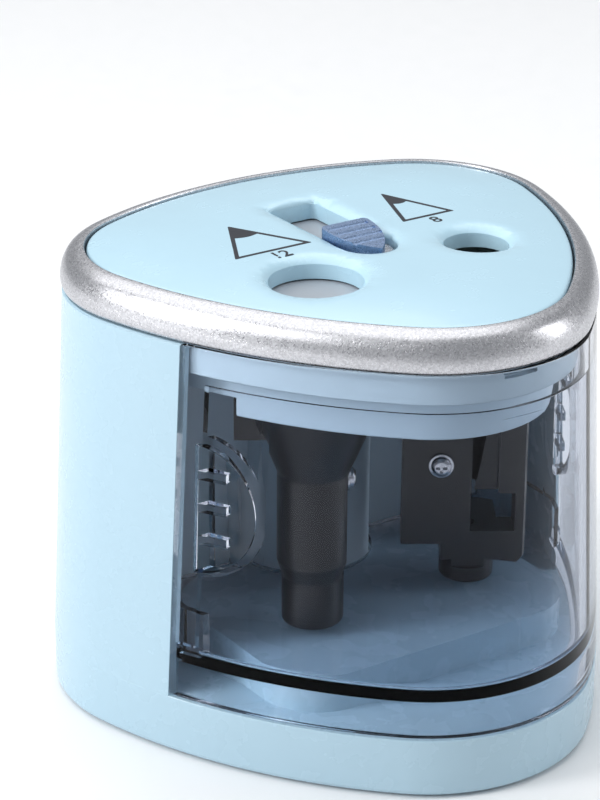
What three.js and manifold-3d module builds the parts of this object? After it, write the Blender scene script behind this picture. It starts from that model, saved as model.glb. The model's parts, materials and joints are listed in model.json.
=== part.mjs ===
// Battery pencil sharpener with two pencil holes, a hole selector and a clear shavings bin.
// Millimetres, +Z up, +X to the right, front (the narrow corner) towards -Y.
// The origin is at the centre of the footprint, on the surface that the feet stand on.

import * as THREE from 'three';
import { mergeVertices } from 'three/addons/utils/BufferGeometryUtils.js';
import Module from 'manifold-3d';

const wasm = await Module();
wasm.setup();

// ---------------------------------------------------------------- driving dimensions

// Plan outline of the top panel: three rounded corners joined by shallow arcs.
const PANEL_WIDTH = 87.4;
const PANEL_DEPTH = 83.0;
const BACK_CORNER_R = 21.3;
const FRONT_CORNER_R = 23.1;
const BACK_ARC_R = 77.3;
const SIDE_ARC_R = 91.0;

// Heights of the main levels.
const BODY_HEIGHT = 84.2;
const FOOT_PROUD = 0.4;
const BASE_TOP_Z = 11.2;
const PEDESTAL_Z = 17.3;
const BEZEL_HEIGHT = 7.9;
const HEAD_DROP = 10.4;

// Outer wall: the offset from the panel outline grows downwards.
const BEZEL_OFFSET = 4.5;
const HEAD_WALL_OFFSET = 4.4;
const BASE_OFFSET = 7.3;

// Walls and gaps.
const SHELL_WALL = 2.0;
const BIN_WALL = 2.2;
const BIN_LIP_WALL = 1.2;
const BIN_FLOOR = 1.6;
const HEAD_WALL = 1.4;
const HEAD_FLOOR = 1.6;
const SEAT_GAP = 0.3;
const RUN_GAP = 0.25;

// Seam between the bin and the rear shell.
const SEAM_Y = -6.3;
const SEAM_LIP = 3.7;
const BIN_RIM_DROP = 7.0;

// Pencil holes and cutters.
const HOLE_SPACING = 33.6;
const HOLE_Y = -9.2;
const LARGE_HOLE_R = 8.1;
const SMALL_HOLE_R = 5.7;
const LARGE_BORE_R = 6.3;
const SMALL_BORE_R = 4.3;
const NECK_WALL = 1.6;
const CUTTER_TURN = -33;

// Selector.
const SLOT_WIDTH = 10.2;
const SLOT_CORNER_R = 1.1;
const SELECTOR_TRAVEL = 15.9;
const KNOB_LENGTH = 12.3;
const KNOB_FRONT_Y = -5.0;

// Gear train.
const CUTTER_MODULE = 0.7;
const CUTTER_TEETH = 43;
const REDUCTION_TEETH = 18;
const MOTOR_MODULE = 0.5;
const PINION_TEETH = 10;
const BACKLASH = 0.14;
const ADDENDUM = 0.85;
const DEDENDUM = 1.15;
const WHEEL_ROOM = 1.0;

// Motor and batteries.
const MOTOR_R = 10.0;
const MOTOR_LENGTH = 25.0;
const MOTOR_SLEEVE_R = 12.0;
const SLEEVE_WALL = 1.3;
const CELL_R = 7.1;
const CELL_LENGTH = 49.2;
const CELL_PITCH = 15.7;
const PARTITION_WALL = 1.6;

// Mesh fineness.
const ARC_STEP = THREE.MathUtils.degToRad(9);
const ROUND = 20;
const FINE_ROUND = 28;

// ---------------------------------------------------------------- derived levels

const HEAD_Z = BODY_HEIGHT - BEZEL_HEIGHT;
const HEAD_FLOOR_Z = HEAD_Z - HEAD_DROP;
const GEARBOX_Z = HEAD_FLOOR_Z + HEAD_FLOOR;
const PANEL_EDGE_Z = BODY_HEIGHT - 1.3;
const PANEL_THICKNESS = 2.6;
const PANEL_UNDER_Z = PANEL_EDGE_Z - PANEL_THICKNESS;
const COVER_TOP_Z = HEAD_Z - 0.2;
const COVER_THICKNESS = 1.2;
const BIN_FLOOR_Z = PEDESTAL_Z + SEAT_GAP;
const BIN_FLOOR_TOP = BIN_FLOOR_Z + BIN_FLOOR;
const CUTTER_BOTTOM_Z = BIN_FLOOR_TOP + 0.7;
const HOLE_X = HOLE_SPACING / 2;
// Centres of the plan outline's corners.
const BACK_CORNER_X = PANEL_WIDTH / 2 - BACK_CORNER_R;
const BACK_ARC_DROP = Math.sqrt((BACK_ARC_R - BACK_CORNER_R) ** 2 - BACK_CORNER_X ** 2);
const BACK_CORNER_Y = PANEL_DEPTH / 2 - BACK_ARC_R + BACK_ARC_DROP;
const FRONT_CORNER_Y = FRONT_CORNER_R - PANEL_DEPTH / 2;
const DRAFT = (BASE_OFFSET - HEAD_WALL_OFFSET) / (HEAD_Z - BASE_TOP_Z);
const SHUTTER_THICKNESS = 1.2;
const SHUTTER_Z = PANEL_UNDER_Z - SEAT_GAP - SHUTTER_THICKNESS;

// Levels of the two gear layers.
const WHEEL_Z = GEARBOX_Z + 0.9;
const WHEEL_HEIGHT = 2.4;
const CUTTER_GEAR_Z = WHEEL_Z + WHEEL_HEIGHT + 0.5;
const CUTTER_GEAR_HEIGHT = 2.9;

// Gear axes follow from the tooth counts. The wheel is as large as fits between the cutter necks.
const LARGE_NECK_R = LARGE_BORE_R + NECK_WALL;
const SMALL_NECK_R = SMALL_BORE_R + NECK_WALL;
const CUTTER_CENTRES = CUTTER_MODULE * (CUTTER_TEETH + REDUCTION_TEETH) / 2;
const WHEEL_TIP_R = CUTTER_CENTRES - Math.max(LARGE_NECK_R, SMALL_NECK_R) - WHEEL_ROOM;
const WHEEL_TEETH = Math.floor(2 * (WHEEL_TIP_R / MOTOR_MODULE - ADDENDUM));
const REDUCTION_Y = HOLE_Y + Math.sqrt(CUTTER_CENTRES ** 2 - HOLE_X ** 2);
const MOTOR_Y = REDUCTION_Y + MOTOR_MODULE * (WHEEL_TEETH + PINION_TEETH) / 2;
const PARTITION_Y = MOTOR_Y + 0.5;

// Outer wall offset at a height.
function wallOffset(z) {
  return z < BASE_TOP_Z ? BASE_OFFSET : BASE_OFFSET - DRAFT * (z - BASE_TOP_Z);
}

// ---------------------------------------------------------------- materials

function plastic(color, roughness = 0.4) {
  return new THREE.MeshStandardMaterial({ color, roughness, metalness: 0 });
}

function metal(color, roughness = 0.35) {
  return new THREE.MeshStandardMaterial({ color, roughness, metalness: 1 });
}

const BLUE = 0xa9d7e6;
const PALE_BLUE = 0xbfe3f0;
const SILVER = 0xbfc1c6;
const BLACK = 0x1d1e22;
const STEEL = 0xc9ccd2;
const GREY = 0x9aa0a6;
const WHITE = 0xe9e9e4;
const SMOKE = 0x46586e;
const RUBBER = 0x2b2b2d;

// ---------------------------------------------------------------- solid helpers

// A watertight manifold-3d solid from a closed three.js geometry.
function solid(geometry) {
  const bare = geometry.clone();
  bare.deleteAttribute('normal');
  bare.deleteAttribute('uv');
  const merged = mergeVertices(bare, 1e-4);
  return new wasm.Manifold(new wasm.Mesh({
    numProp: 3,
    vertProperties: new Float32Array(merged.attributes.position.array),
    triVerts: new Uint32Array(merged.index.array),
  }));
}

// The three.js geometry of a manifold-3d solid.
function geometryOf(body) {
  const mesh = body.getMesh();
  const geometry = new THREE.BufferGeometry();
  geometry.setAttribute('position', new THREE.BufferAttribute(new Float32Array(mesh.vertProperties), 3));
  geometry.setIndex(new THREE.BufferAttribute(new Uint32Array(mesh.triVerts), 1));
  return geometry;
}

// A box given by its two corners.
function block(x0, x1, y0, y1, z0, z1) {
  const box = new THREE.BoxGeometry(x1 - x0, y1 - y0, z1 - z0);
  return solid(box.translate((x0 + x1) / 2, (y0 + y1) / 2, (z0 + z1) / 2));
}

// An upright cylinder or cone, with radius r0 at z0 and r1 at z1.
function post(x, y, r0, r1, z0, z1, sides = ROUND) {
  const cylinder = new THREE.CylinderGeometry(r1, r0, z1 - z0, sides);
  return solid(cylinder.rotateX(Math.PI / 2).translate(x, y, (z0 + z1) / 2));
}

// A cylinder with its axis along a horizontal direction, from one distance to another along it.
function rod(origin, direction, r, from, to, sides = ROUND) {
  const cylinder = new THREE.CylinderGeometry(r, r, to - from, sides);
  const turn = new THREE.Quaternion().setFromUnitVectors(new THREE.Vector3(0, 1, 0), direction);
  const middle = direction.clone().multiplyScalar((from + to) / 2).add(origin);
  return solid(cylinder.applyQuaternion(turn).translate(middle.x, middle.y, middle.z));
}

// A flat shape pushed up from z0 to z1.
function slab(shape, z0, z1, curveSegments = 10) {
  const flat = new THREE.ExtrudeGeometry(shape, { depth: z1 - z0, bevelEnabled: false, curveSegments });
  return solid(flat.translate(0, 0, z0));
}

// A turned solid from a profile of [radius, z] points that starts and ends on the axis.
function turned(profile, x, y, sides = ROUND) {
  const points = profile.map(([r, z]) => new THREE.Vector2(r, z));
  const lathe = new THREE.LatheGeometry(points, sides);
  return solid(lathe.rotateX(Math.PI / 2).translate(x, y, 0));
}

function union(first, ...rest) {
  return rest.reduce((sum, body) => sum.add(body), first);
}

// A rounded rectangle outline.
function roundedRectangle(x0, x1, y0, y1, r) {
  const shape = new THREE.Shape();
  shape.moveTo(x0 + r, y0);
  shape.lineTo(x1 - r, y0);
  shape.absarc(x1 - r, y0 + r, r, -Math.PI / 2, 0);
  shape.lineTo(x1, y1 - r);
  shape.absarc(x1 - r, y1 - r, r, 0, Math.PI / 2);
  shape.lineTo(x0 + r, y1);
  shape.absarc(x0 + r, y1 - r, r, Math.PI / 2, Math.PI);
  shape.lineTo(x0, y0 + r);
  shape.absarc(x0 + r, y0 + r, r, Math.PI, 1.5 * Math.PI);
  return shape;
}

// ---------------------------------------------------------------- plan outline

// Samples of the panel outline, counter-clockwise, each with its outward normal.
function planOutline() {
  // The side arc's centre is where two circles about the corner centres cross.
  const toBack = SIDE_ARC_R - BACK_CORNER_R;
  const toFront = SIDE_ARC_R - FRONT_CORNER_R;
  const span = Math.hypot(BACK_CORNER_X, BACK_CORNER_Y - FRONT_CORNER_Y);
  const along = (toBack ** 2 - toFront ** 2 + span ** 2) / (2 * span);
  const across = Math.sqrt(toBack ** 2 - along ** 2);
  const ux = -BACK_CORNER_X / span;
  const uy = (FRONT_CORNER_Y - BACK_CORNER_Y) / span;
  const sideX = BACK_CORNER_X + ux * along + uy * across;
  const sideY = BACK_CORNER_Y + uy * along - ux * across;
  const backAngle = Math.atan2(BACK_ARC_DROP, BACK_CORNER_X);
  const cornerAngle = Math.atan2(BACK_CORNER_Y - sideY, BACK_CORNER_X - sideX);
  const frontAngle = Math.atan2(FRONT_CORNER_Y - sideY, -sideX);
  const arcs = [
    [0, FRONT_CORNER_Y, FRONT_CORNER_R, -Math.PI / 2, frontAngle],
    [sideX, sideY, SIDE_ARC_R, frontAngle, cornerAngle],
    [BACK_CORNER_X, BACK_CORNER_Y, BACK_CORNER_R, cornerAngle, backAngle],
    [0, BACK_CORNER_Y - BACK_ARC_DROP, BACK_ARC_R, backAngle, Math.PI / 2],
  ];
  const right = [];
  for (const [x, y, r, from, to] of arcs) {
    const steps = Math.ceil((to - from) * Math.max(1, Math.sqrt(r / FRONT_CORNER_R)) / ARC_STEP);
    for (let i = 0; i < steps; i++) {
      const angle = from + (to - from) * i / steps;
      const nx = Math.cos(angle);
      const ny = Math.sin(angle);
      right.push({ x: x + r * nx, y: y + r * ny, nx, ny });
    }
  }
  const left = right.slice(1).reverse().map((p) => ({ x: -p.x, y: p.y, nx: -p.nx, ny: p.ny }));
  return [...right, { x: 0, y: PANEL_DEPTH / 2, nx: 0, ny: 1 }, ...left];
}

const OUTLINE = planOutline();

// A body whose [offset, z] profile runs round the outline. The profile goes counter-clockwise
// seen with offset to the right and z up. A ring's profile closes on itself; a plate's starts
// at the bottom and ends at the top, and flat faces close it.
function aroundOutline(profile, closed) {
  const points = [];
  for (const p of OUTLINE) {
    for (const [offset, z] of profile) {
      points.push(p.x + p.nx * offset, p.y + p.ny * offset, z);
    }
  }
  const rows = profile.length;
  const columns = OUTLINE.length;
  const index = [];
  for (let i = 0; i < columns; i++) {
    const here = i * rows;
    const next = ((i + 1) % columns) * rows;
    for (let j = 0; j < (closed ? rows : rows - 1); j++) {
      const k = (j + 1) % rows;
      index.push(here + j, next + j, next + k, here + j, next + k, here + k);
    }
  }
  if (!closed) {
    const bottom = points.length / 3;
    points.push(0, 0, profile[0][1], 0, 0, profile[rows - 1][1]);
    for (let i = 0; i < columns; i++) {
      const here = i * rows;
      const next = ((i + 1) % columns) * rows;
      index.push(bottom, next, here);
      index.push(bottom + 1, here + rows - 1, next + rows - 1);
    }
  }
  const geometry = new THREE.BufferGeometry();
  geometry.setAttribute('position', new THREE.BufferAttribute(new Float32Array(points), 3));
  geometry.setIndex(index);
  return solid(geometry);
}

function ring(profile) {
  return aroundOutline(profile, true);
}

function plate(profile) {
  return aroundOutline(profile, false);
}

// Everything on one side of the seam, as a cutting block.
const FAR = 200;

function behind(y) {
  return block(-FAR, FAR, y, FAR, -FAR, FAR);
}

function ahead(y) {
  return block(-FAR, FAR, -FAR, y, -FAR, FAR);
}

// ---------------------------------------------------------------- assembly

const sharpener = new THREE.Group();

function add(name, body, material) {
  const mesh = new THREE.Mesh(geometryOf(body), material);
  mesh.name = name;
  sharpener.add(mesh);
}

// A countersunk or round screw head on a shank, pointing down, with a cross recess in its head.
function screw(x, y, headTop, headR, headHeight, shankR, length) {
  const body = turned([
    [0, headTop - headHeight - length],
    [shankR, headTop - headHeight - length],
    [shankR, headTop - headHeight],
    [headR, headTop - headHeight],
    [headR, headTop - headHeight * 0.45],
    [headR * 0.7, headTop],
    [0, headTop],
  ], x, y, 10);
  const arm = headR * 0.55;
  const half = headR * 0.14;
  const depth = headHeight * 0.5;
  const cross = union(
    block(x - arm, x + arm, y - half, y + half, headTop - depth, headTop + 1),
    block(x - half, x + half, y - arm, y + arm, headTop - depth, headTop + 1),
  );
  return body.subtract(cross);
}

// ---- body housing: base, pedestal and rear shell in one moulding

const BASE_BOTTOM_Z = FOOT_PROUD;
const DECK = 1.6;
const BOSS_R = 3.0;
const BOTTOM_SCREWS = [[-27, 26], [27, 26], [-13, -31], [13, -31]];
const PEDESTAL_HALF = 31.5;
const PEDESTAL_FRONT_Y = -26.8;
const PEDESTAL_R = 11;
const DOOR_HALF = 31.0;
const DOOR_Z0 = BASE_TOP_Z + 3;
const DOOR_Z1 = DOOR_Z0 + 53;
const DOOR_FRONT_Y = 20;
const COVER_PLATE_Z = BASE_BOTTOM_Z + 0.6;
const COVER_PLATE = 1.6;

function pedestal(shrink, z0, z1) {
  const half = PEDESTAL_HALF - shrink;
  const front = PEDESTAL_FRONT_Y + shrink;
  const back = PARTITION_Y - SEAT_GAP - shrink;
  const body = slab(roundedRectangle(-half, half, front, back, PEDESTAL_R - shrink), z0, z1, 6);
  return body.subtract(post(0, MOTOR_Y, MOTOR_SLEEVE_R + SEAT_GAP + shrink,
    MOTOR_SLEEVE_R + SEAT_GAP + shrink, BASE_TOP_Z - (shrink ? 9 : 0), z1 + 1));
}

function doorSpace(grow) {
  return block(-DOOR_HALF - grow, DOOR_HALF + grow, DOOR_FRONT_Y, FAR, DOOR_Z0 - grow, DOOR_Z1 + grow);
}

function bodyHousing() {
  const inner = BASE_OFFSET - SHELL_WALL;
  const band = plate([
    [BASE_OFFSET - 1.2, BASE_BOTTOM_Z],
    [BASE_OFFSET - 0.35, BASE_BOTTOM_Z + 0.35],
    [BASE_OFFSET, BASE_BOTTOM_Z + 1.2],
    [BASE_OFFSET, BASE_TOP_Z],
  ]);
  const cavity = plate([[inner, -1], [inner, BASE_TOP_Z - DECK]]);
  const shell = ring([
    [inner, BASE_TOP_Z - 0.5],
    [BASE_OFFSET, BASE_TOP_Z - 0.5],
    [BASE_OFFSET, BASE_TOP_Z],
    [HEAD_WALL_OFFSET, HEAD_Z - SEAT_GAP],
    [HEAD_WALL_OFFSET - SHELL_WALL, HEAD_Z - SEAT_GAP],
    [wallOffset(BASE_TOP_Z) - SHELL_WALL, BASE_TOP_Z],
  ]).intersect(behind(SEAM_Y));
  let body = band.subtract(cavity).add(shell);
  body = body.add(pedestal(0, BASE_TOP_Z - 0.5, PEDESTAL_Z));
  body = body.subtract(pedestal(DECK, 0, PEDESTAL_Z - DECK));
  for (const [x, y] of BOTTOM_SCREWS) {
    const bossBottom = COVER_PLATE_Z + COVER_PLATE + SEAT_GAP;
    body = body.add(post(x, y, BOSS_R, BOSS_R, bossBottom, BASE_TOP_Z - 0.2, 16));
    body = body.subtract(post(x, y, 1.2, 1.2, 0, BASE_TOP_Z - DECK - 0.4, 12));
  }
  return body.subtract(doorSpace(0));
}

add('body_housing', bodyHousing(), plastic(BLUE, 0.3));

// ---- bottom cover with its screws and rubber feet

const FOOT_R = 4.0;
const FOOT_SINK = 0.9;
const FOOT_INSET = 2.0;
const BACK_FOOT_ANGLE = THREE.MathUtils.degToRad(18);
const FRONT_FOOT_ANGLE = THREE.MathUtils.degToRad(-72);
const COVER_EDGE = BASE_OFFSET - SHELL_WALL - SEAT_GAP;

// Each foot sits inside a rounded corner, the same distance from the cover's edge.
function footPlaces() {
  const corners = [
    [BACK_CORNER_X, BACK_CORNER_Y, BACK_CORNER_R, BACK_FOOT_ANGLE],
    [0, FRONT_CORNER_Y, FRONT_CORNER_R, FRONT_FOOT_ANGLE],
  ];
  return corners.flatMap(([x, y, r, angle]) => {
    const reach = r + COVER_EDGE - FOOT_R - FOOT_INSET;
    const footX = x + reach * Math.cos(angle);
    const footY = y + reach * Math.sin(angle);
    return [[-footX, footY], [footX, footY]];
  });
}

const FEET = footPlaces();

function bottomCover() {
  let body = plate([[COVER_EDGE, COVER_PLATE_Z], [COVER_EDGE, COVER_PLATE_Z + COVER_PLATE]]);
  for (const [x, y] of BOTTOM_SCREWS) {
    body = body.subtract(post(x, y, 1.7, 1.7, 0, 9, 16));
    body = body.subtract(post(x, y, 2.9, 2.9, 0, COVER_PLATE_Z + 0.9, 16));
  }
  for (const [x, y] of FEET) {
    body = body.subtract(post(x, y, FOOT_R + 0.15, FOOT_R + 0.15, 0, COVER_PLATE_Z + FOOT_SINK, 20));
  }
  return body;
}

add('bottom_cover', bottomCover(), plastic(BLUE, 0.45));

FEET.forEach(([x, y], i) => {
  const top = COVER_PLATE_Z + FOOT_SINK - 0.1;
  add(`rubber_foot_${i + 1}`, post(x, y, FOOT_R - 0.4, FOOT_R, 0, top, 20), plastic(RUBBER, 0.9));
});

BOTTOM_SCREWS.forEach(([x, y], i) => {
  const headTop = -(COVER_PLATE_Z - 0.1);
  const body = screw(x, -y, headTop, 2.5, 0.8, 1.0, 5).rotate([180, 0, 0]);
  add(`bottom_screw_${i + 1}`, body, metal(STEEL));
});

// ---- inner partition with the half-round motor sleeve

function innerPartition() {
  const edge = wallOffset(HEAD_FLOOR_Z) - SHELL_WALL - SEAT_GAP;
  const footEdge = wallOffset(BASE_TOP_Z) - SHELL_WALL - SEAT_GAP;
  const z0 = BASE_TOP_Z + SEAT_GAP;
  const z1 = HEAD_FLOOR_Z - SEAT_GAP;
  const inside = plate([[footEdge, z0], [edge, z1]]);
  const wall = block(-FAR / 2, FAR / 2, PARTITION_Y, PARTITION_Y + PARTITION_WALL, z0, z1);
  const sleeve = post(0, MOTOR_Y, MOTOR_SLEEVE_R, MOTOR_SLEEVE_R, z0, z1, FINE_ROUND)
    .intersect(ahead(PARTITION_Y + PARTITION_WALL));
  const bore = MOTOR_SLEEVE_R - SLEEVE_WALL;
  return wall.add(sleeve).intersect(inside)
    .subtract(post(0, MOTOR_Y, bore, bore, z0 - 1, z1 + 1, FINE_ROUND));
}

add('inner_partition', innerPartition(), plastic(BLUE, 0.4));

// ---- head case: the collar that closes the bin's top and holds the gears

const COLLAR_OFFSET = -2.1;
const COLLAR_DROP = 3.4;
const COLLAR_TOP_OFFSET = HEAD_WALL_OFFSET - SHELL_WALL - SEAT_GAP;
const COLLAR_INNER = COLLAR_OFFSET - HEAD_WALL;
const HEAD_INNER = COLLAR_TOP_OFFSET - HEAD_WALL - 0.5;
const BIN_RIM_Z = HEAD_Z - BIN_RIM_DROP;
const NOTCH_HALF = 3.3;
const NOTCH_HEIGHT = 2.0;
const COVER_SCREWS = [[-30, 20], [30, 20], [0, -33]];
const AXLE_R = 1.0;

function headCase() {
  const top = HEAD_Z - SEAT_GAP;
  let body = plate([
    [COLLAR_OFFSET, HEAD_FLOOR_Z],
    [COLLAR_OFFSET, BIN_RIM_Z + SEAT_GAP],
    [COLLAR_TOP_OFFSET, BIN_RIM_Z + 1.0],
    [COLLAR_TOP_OFFSET, top],
  ]);
  const step = CUTTER_GEAR_Z - SEAT_GAP;
  body = body.subtract(plate([[COLLAR_INNER, GEARBOX_Z], [COLLAR_INNER, step + 0.1]]));
  body = body.subtract(plate([[HEAD_INNER, step], [HEAD_INNER, top + 1]]));
  // The collar hangs below the case's floor, inside the bin's rim.
  const skirt = ring([
    [COLLAR_INNER, HEAD_FLOOR_Z - COLLAR_DROP],
    [COLLAR_OFFSET, HEAD_FLOOR_Z - COLLAR_DROP],
    [COLLAR_OFFSET, HEAD_FLOOR_Z + 0.5],
    [COLLAR_INNER, HEAD_FLOOR_Z + 0.5],
  ]).intersect(ahead(SEAM_Y - SEAM_LIP));
  body = body.add(skirt);
  body = body.subtract(post(-HOLE_X, HOLE_Y, LARGE_NECK_R + RUN_GAP, LARGE_NECK_R + RUN_GAP, 0, FAR));
  body = body.subtract(post(HOLE_X, HOLE_Y, SMALL_NECK_R + RUN_GAP, SMALL_NECK_R + RUN_GAP, 0, FAR));
  body = body.subtract(post(0, MOTOR_Y, 4, 4, 0, FAR, 20));
  for (const [x, y] of COVER_SCREWS) {
    body = body.add(post(x, y, 2.6, 2.6, GEARBOX_Z - 0.5, COVER_TOP_Z - COVER_THICKNESS - SEAT_GAP, 16));
    body = body.subtract(post(x, y, 1.1, 1.1, GEARBOX_Z + 0.5, FAR, 12));
  }
  const axleBoss = post(0, REDUCTION_Y, 2.4, 2.4, GEARBOX_Z - 0.5, GEARBOX_Z + 0.6, 16);
  body = body.add(axleBoss).subtract(post(0, REDUCTION_Y, AXLE_R + 0.1, AXLE_R + 0.1, 0, FAR, 16));
  const front = -PANEL_DEPTH / 2 - COLLAR_TOP_OFFSET;
  return body.subtract(block(-NOTCH_HALF, NOTCH_HALF, front - 1, front + 1.1, top - NOTCH_HEIGHT, FAR));
}

add('head_case', headCase(), plastic(BLUE, 0.35));

// ---- gear cover

const PANEL_POSTS = [[-33, 8], [33, 8], [-9, -31], [9, 33]];
const SPRING_X = -12;
const SWITCH_X = 12;
const SLIDER_TRAVEL = 2.0;
const SLIDER_THICKNESS = 1.2;
const SLIDER_BACK_Y = 2.0;
const SPRING_LENGTH = 7.4;

function gearCover() {
  const edge = HEAD_INNER - SEAT_GAP;
  const z0 = COVER_TOP_Z - COVER_THICKNESS;
  let body = plate([[edge, z0], [edge, COVER_TOP_Z]]);
  const large = LARGE_NECK_R + RUN_GAP;
  const small = SMALL_NECK_R + RUN_GAP;
  body = body.subtract(post(-HOLE_X, HOLE_Y, large, large, 0, FAR));
  body = body.subtract(post(HOLE_X, HOLE_Y, small, small, 0, FAR));
  body = body.subtract(post(0, REDUCTION_Y, AXLE_R + 0.1, AXLE_R + 0.1, 0, FAR, 16));
  for (const [x, y] of PANEL_POSTS) {
    body = body.add(post(x, y, 2.0, 2.0, COVER_TOP_Z - 0.5, PANEL_UNDER_Z - SEAT_GAP, 16));
  }
  const stopY = SLIDER_BACK_Y + SPRING_LENGTH + 2 * 0.15;
  const stop = block(SPRING_X - 2.5, SPRING_X + 2.5, stopY, stopY + 1.2, COVER_TOP_Z - 0.5, SHUTTER_Z - 0.5);
  body = body.add(stop);
  for (const [x, y] of COVER_SCREWS) {
    body = body.subtract(post(x, y, 1.6, 1.6, 0, FAR, 12));
  }
  return body;
}

add('gear_cover', gearCover(), plastic(WHITE, 0.5));

COVER_SCREWS.forEach(([x, y], i) => {
  const headTop = COVER_TOP_Z + 0.2 + 1.1;
  add(`gear_cover_screw_${i + 1}`, screw(x, y, headTop, 2.2, 1.1, 0.9, 5), metal(STEEL));
});

// ---- bezel ring and top panel

function bezelRing() {
  const inner = SEAT_GAP + 0.05;
  return ring([
    [inner, HEAD_Z],
    [BEZEL_OFFSET - 0.5, HEAD_Z],
    [BEZEL_OFFSET, HEAD_Z + 0.8],
    [BEZEL_OFFSET + 0.15, HEAD_Z + 2.2],
    [BEZEL_OFFSET - 0.25, HEAD_Z + 4.1],
    [BEZEL_OFFSET - 1.15, HEAD_Z + 5.7],
    [BEZEL_OFFSET - 2.5, HEAD_Z + 6.7],
    [BEZEL_OFFSET - 3.6, HEAD_Z + 7.0],
    [inner, HEAD_Z + 6.8],
  ]);
}

add('bezel_ring', bezelRing(), metal(SILVER, 0.35));

// An outline with a half-round front and small back corners.
function roundEnded(half, front, back, r) {
  const shape = new THREE.Shape();
  shape.absarc(0, front + half, half, Math.PI, 2 * Math.PI);
  shape.lineTo(half, back - r);
  shape.absarc(half - r, back - r, r, 0, Math.PI / 2);
  shape.lineTo(-half + r, back);
  shape.absarc(-half + r, back - r, r, Math.PI / 2, Math.PI);
  return shape;
}

function topPanel() {
  let body = plate([
    [0, PANEL_UNDER_Z],
    [0, PANEL_EDGE_Z - 0.5],
    [-0.5, PANEL_EDGE_Z],
    [-5, PANEL_EDGE_Z + 0.55],
    [-12, PANEL_EDGE_Z + 1.0],
    [-20, BODY_HEIGHT - 0.05],
  ]);
  for (const [x, r, rim] of [[-HOLE_X, LARGE_HOLE_R, 0.7], [HOLE_X, SMALL_HOLE_R, 1.2]]) {
    body = body.subtract(post(x, HOLE_Y, r, r, 0, FAR, FINE_ROUND));
    const dish = post(x, HOLE_Y, r, r + rim + 1, BODY_HEIGHT - 1.6, BODY_HEIGHT + 0.6, FINE_ROUND);
    body = body.subtract(dish);
  }
  const slotBack = KNOB_FRONT_Y + KNOB_LENGTH + SELECTOR_TRAVEL + 2 * RUN_GAP;
  const slot = roundEnded(SLOT_WIDTH / 2, KNOB_FRONT_Y - 2 * RUN_GAP, slotBack, SLOT_CORNER_R);
  return body.subtract(slab(slot, 0, FAR, 10));
}

add('top_panel', topPanel(), plastic(PALE_BLUE, 0.3));

// ---- selector: knob on the panel, shutter plate beneath it

function shutter() {
  const z1 = SHUTTER_Z + SHUTTER_THICKNESS;
  const half = SLOT_WIDTH / 2 + 1.1;
  const smallY = HOLE_Y - SELECTOR_TRAVEL;
  const front = smallY + 0.7;
  const back = KNOB_FRONT_Y + KNOB_LENGTH + SELECTOR_TRAVEL + 1;
  const largeR = LARGE_HOLE_R + 0.5;
  const bar = slab(roundedRectangle(-half, half, front, back, 2), SHUTTER_Z, z1, 4);
  const largeLobe = post(-HOLE_X, HOLE_Y, largeR, largeR, SHUTTER_Z, z1, FINE_ROUND)
    .add(block(-HOLE_X, 0, HOLE_Y - 4, HOLE_Y + 4, SHUTTER_Z, z1));
  const smallLobe = post(HOLE_X, smallY, SMALL_HOLE_R + 0.5, SMALL_HOLE_R + 0.5, SHUTTER_Z, z1)
    .add(block(0, HOLE_X, front, front + 4.5, SHUTTER_Z, z1));
  const room = plate([[-0.6, SHUTTER_Z - 1], [-0.6, z1 + 1]]);
  return union(bar, largeLobe, smallLobe).intersect(room);
}

add('hole_shutter', shutter(), plastic(GREY, 0.35));

const KNOB_TOP_Z = BODY_HEIGHT + 1.1;
const KNOB_BASE_Z = PANEL_EDGE_Z - 0.5;
const KNOB_SLOPE = 1.2;
const RIDGE_PITCH = 2.2;
const RIDGE_GROOVE = 0.6;

// A round-fronted base that fills the slot, with a pointed thumb pad that slopes down to the front.
function selectorKnob() {
  const half = SLOT_WIDTH / 2 - RUN_GAP;
  const back = KNOB_FRONT_Y + KNOB_LENGTH;
  const low = SHUTTER_Z + SHUTTER_THICKNESS + SEAT_GAP;
  const base = slab(roundEnded(half, KNOB_FRONT_Y, back, SLOT_CORNER_R), low, KNOB_BASE_Z, 8);
  const shoulder = back - 1.4;
  const tip = KNOB_FRONT_Y + 0.3;
  const outline = new THREE.Shape();
  outline.moveTo(-half, back);
  outline.lineTo(-half, shoulder);
  outline.quadraticCurveTo(-half, KNOB_FRONT_Y + 4.5, 0, tip);
  outline.quadraticCurveTo(half, KNOB_FRONT_Y + 4.5, half, shoulder);
  outline.lineTo(half, back);
  let pad = slab(outline, KNOB_BASE_Z - 0.5, KNOB_TOP_Z, 8);
  for (let i = 0; i < 4; i++) {
    const y = shoulder - i * RIDGE_PITCH;
    const groove = block(-half + 0.8, half - 0.8, y - RIDGE_GROOVE, y, KNOB_TOP_Z - 0.8, FAR);
    pad = pad.subtract(groove);
  }
  const tilt = THREE.MathUtils.radToDeg(Math.atan(KNOB_SLOPE / KNOB_LENGTH));
  const above = block(-FAR, FAR, -FAR, FAR, 0, 10).rotate([tilt, 0, 0]).translate([0, back, KNOB_TOP_Z]);
  return base.add(pad.subtract(above));
}

add('selector_knob', selectorKnob(), metal(GREY, 0.35));

// ---- shavings bin

const GRIP_Z = 47.5;
const GRIP_R = 11.5;
const GRIP_DEPTH = 2.6;
const GRIP_FLOOR = 5.5;

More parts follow.
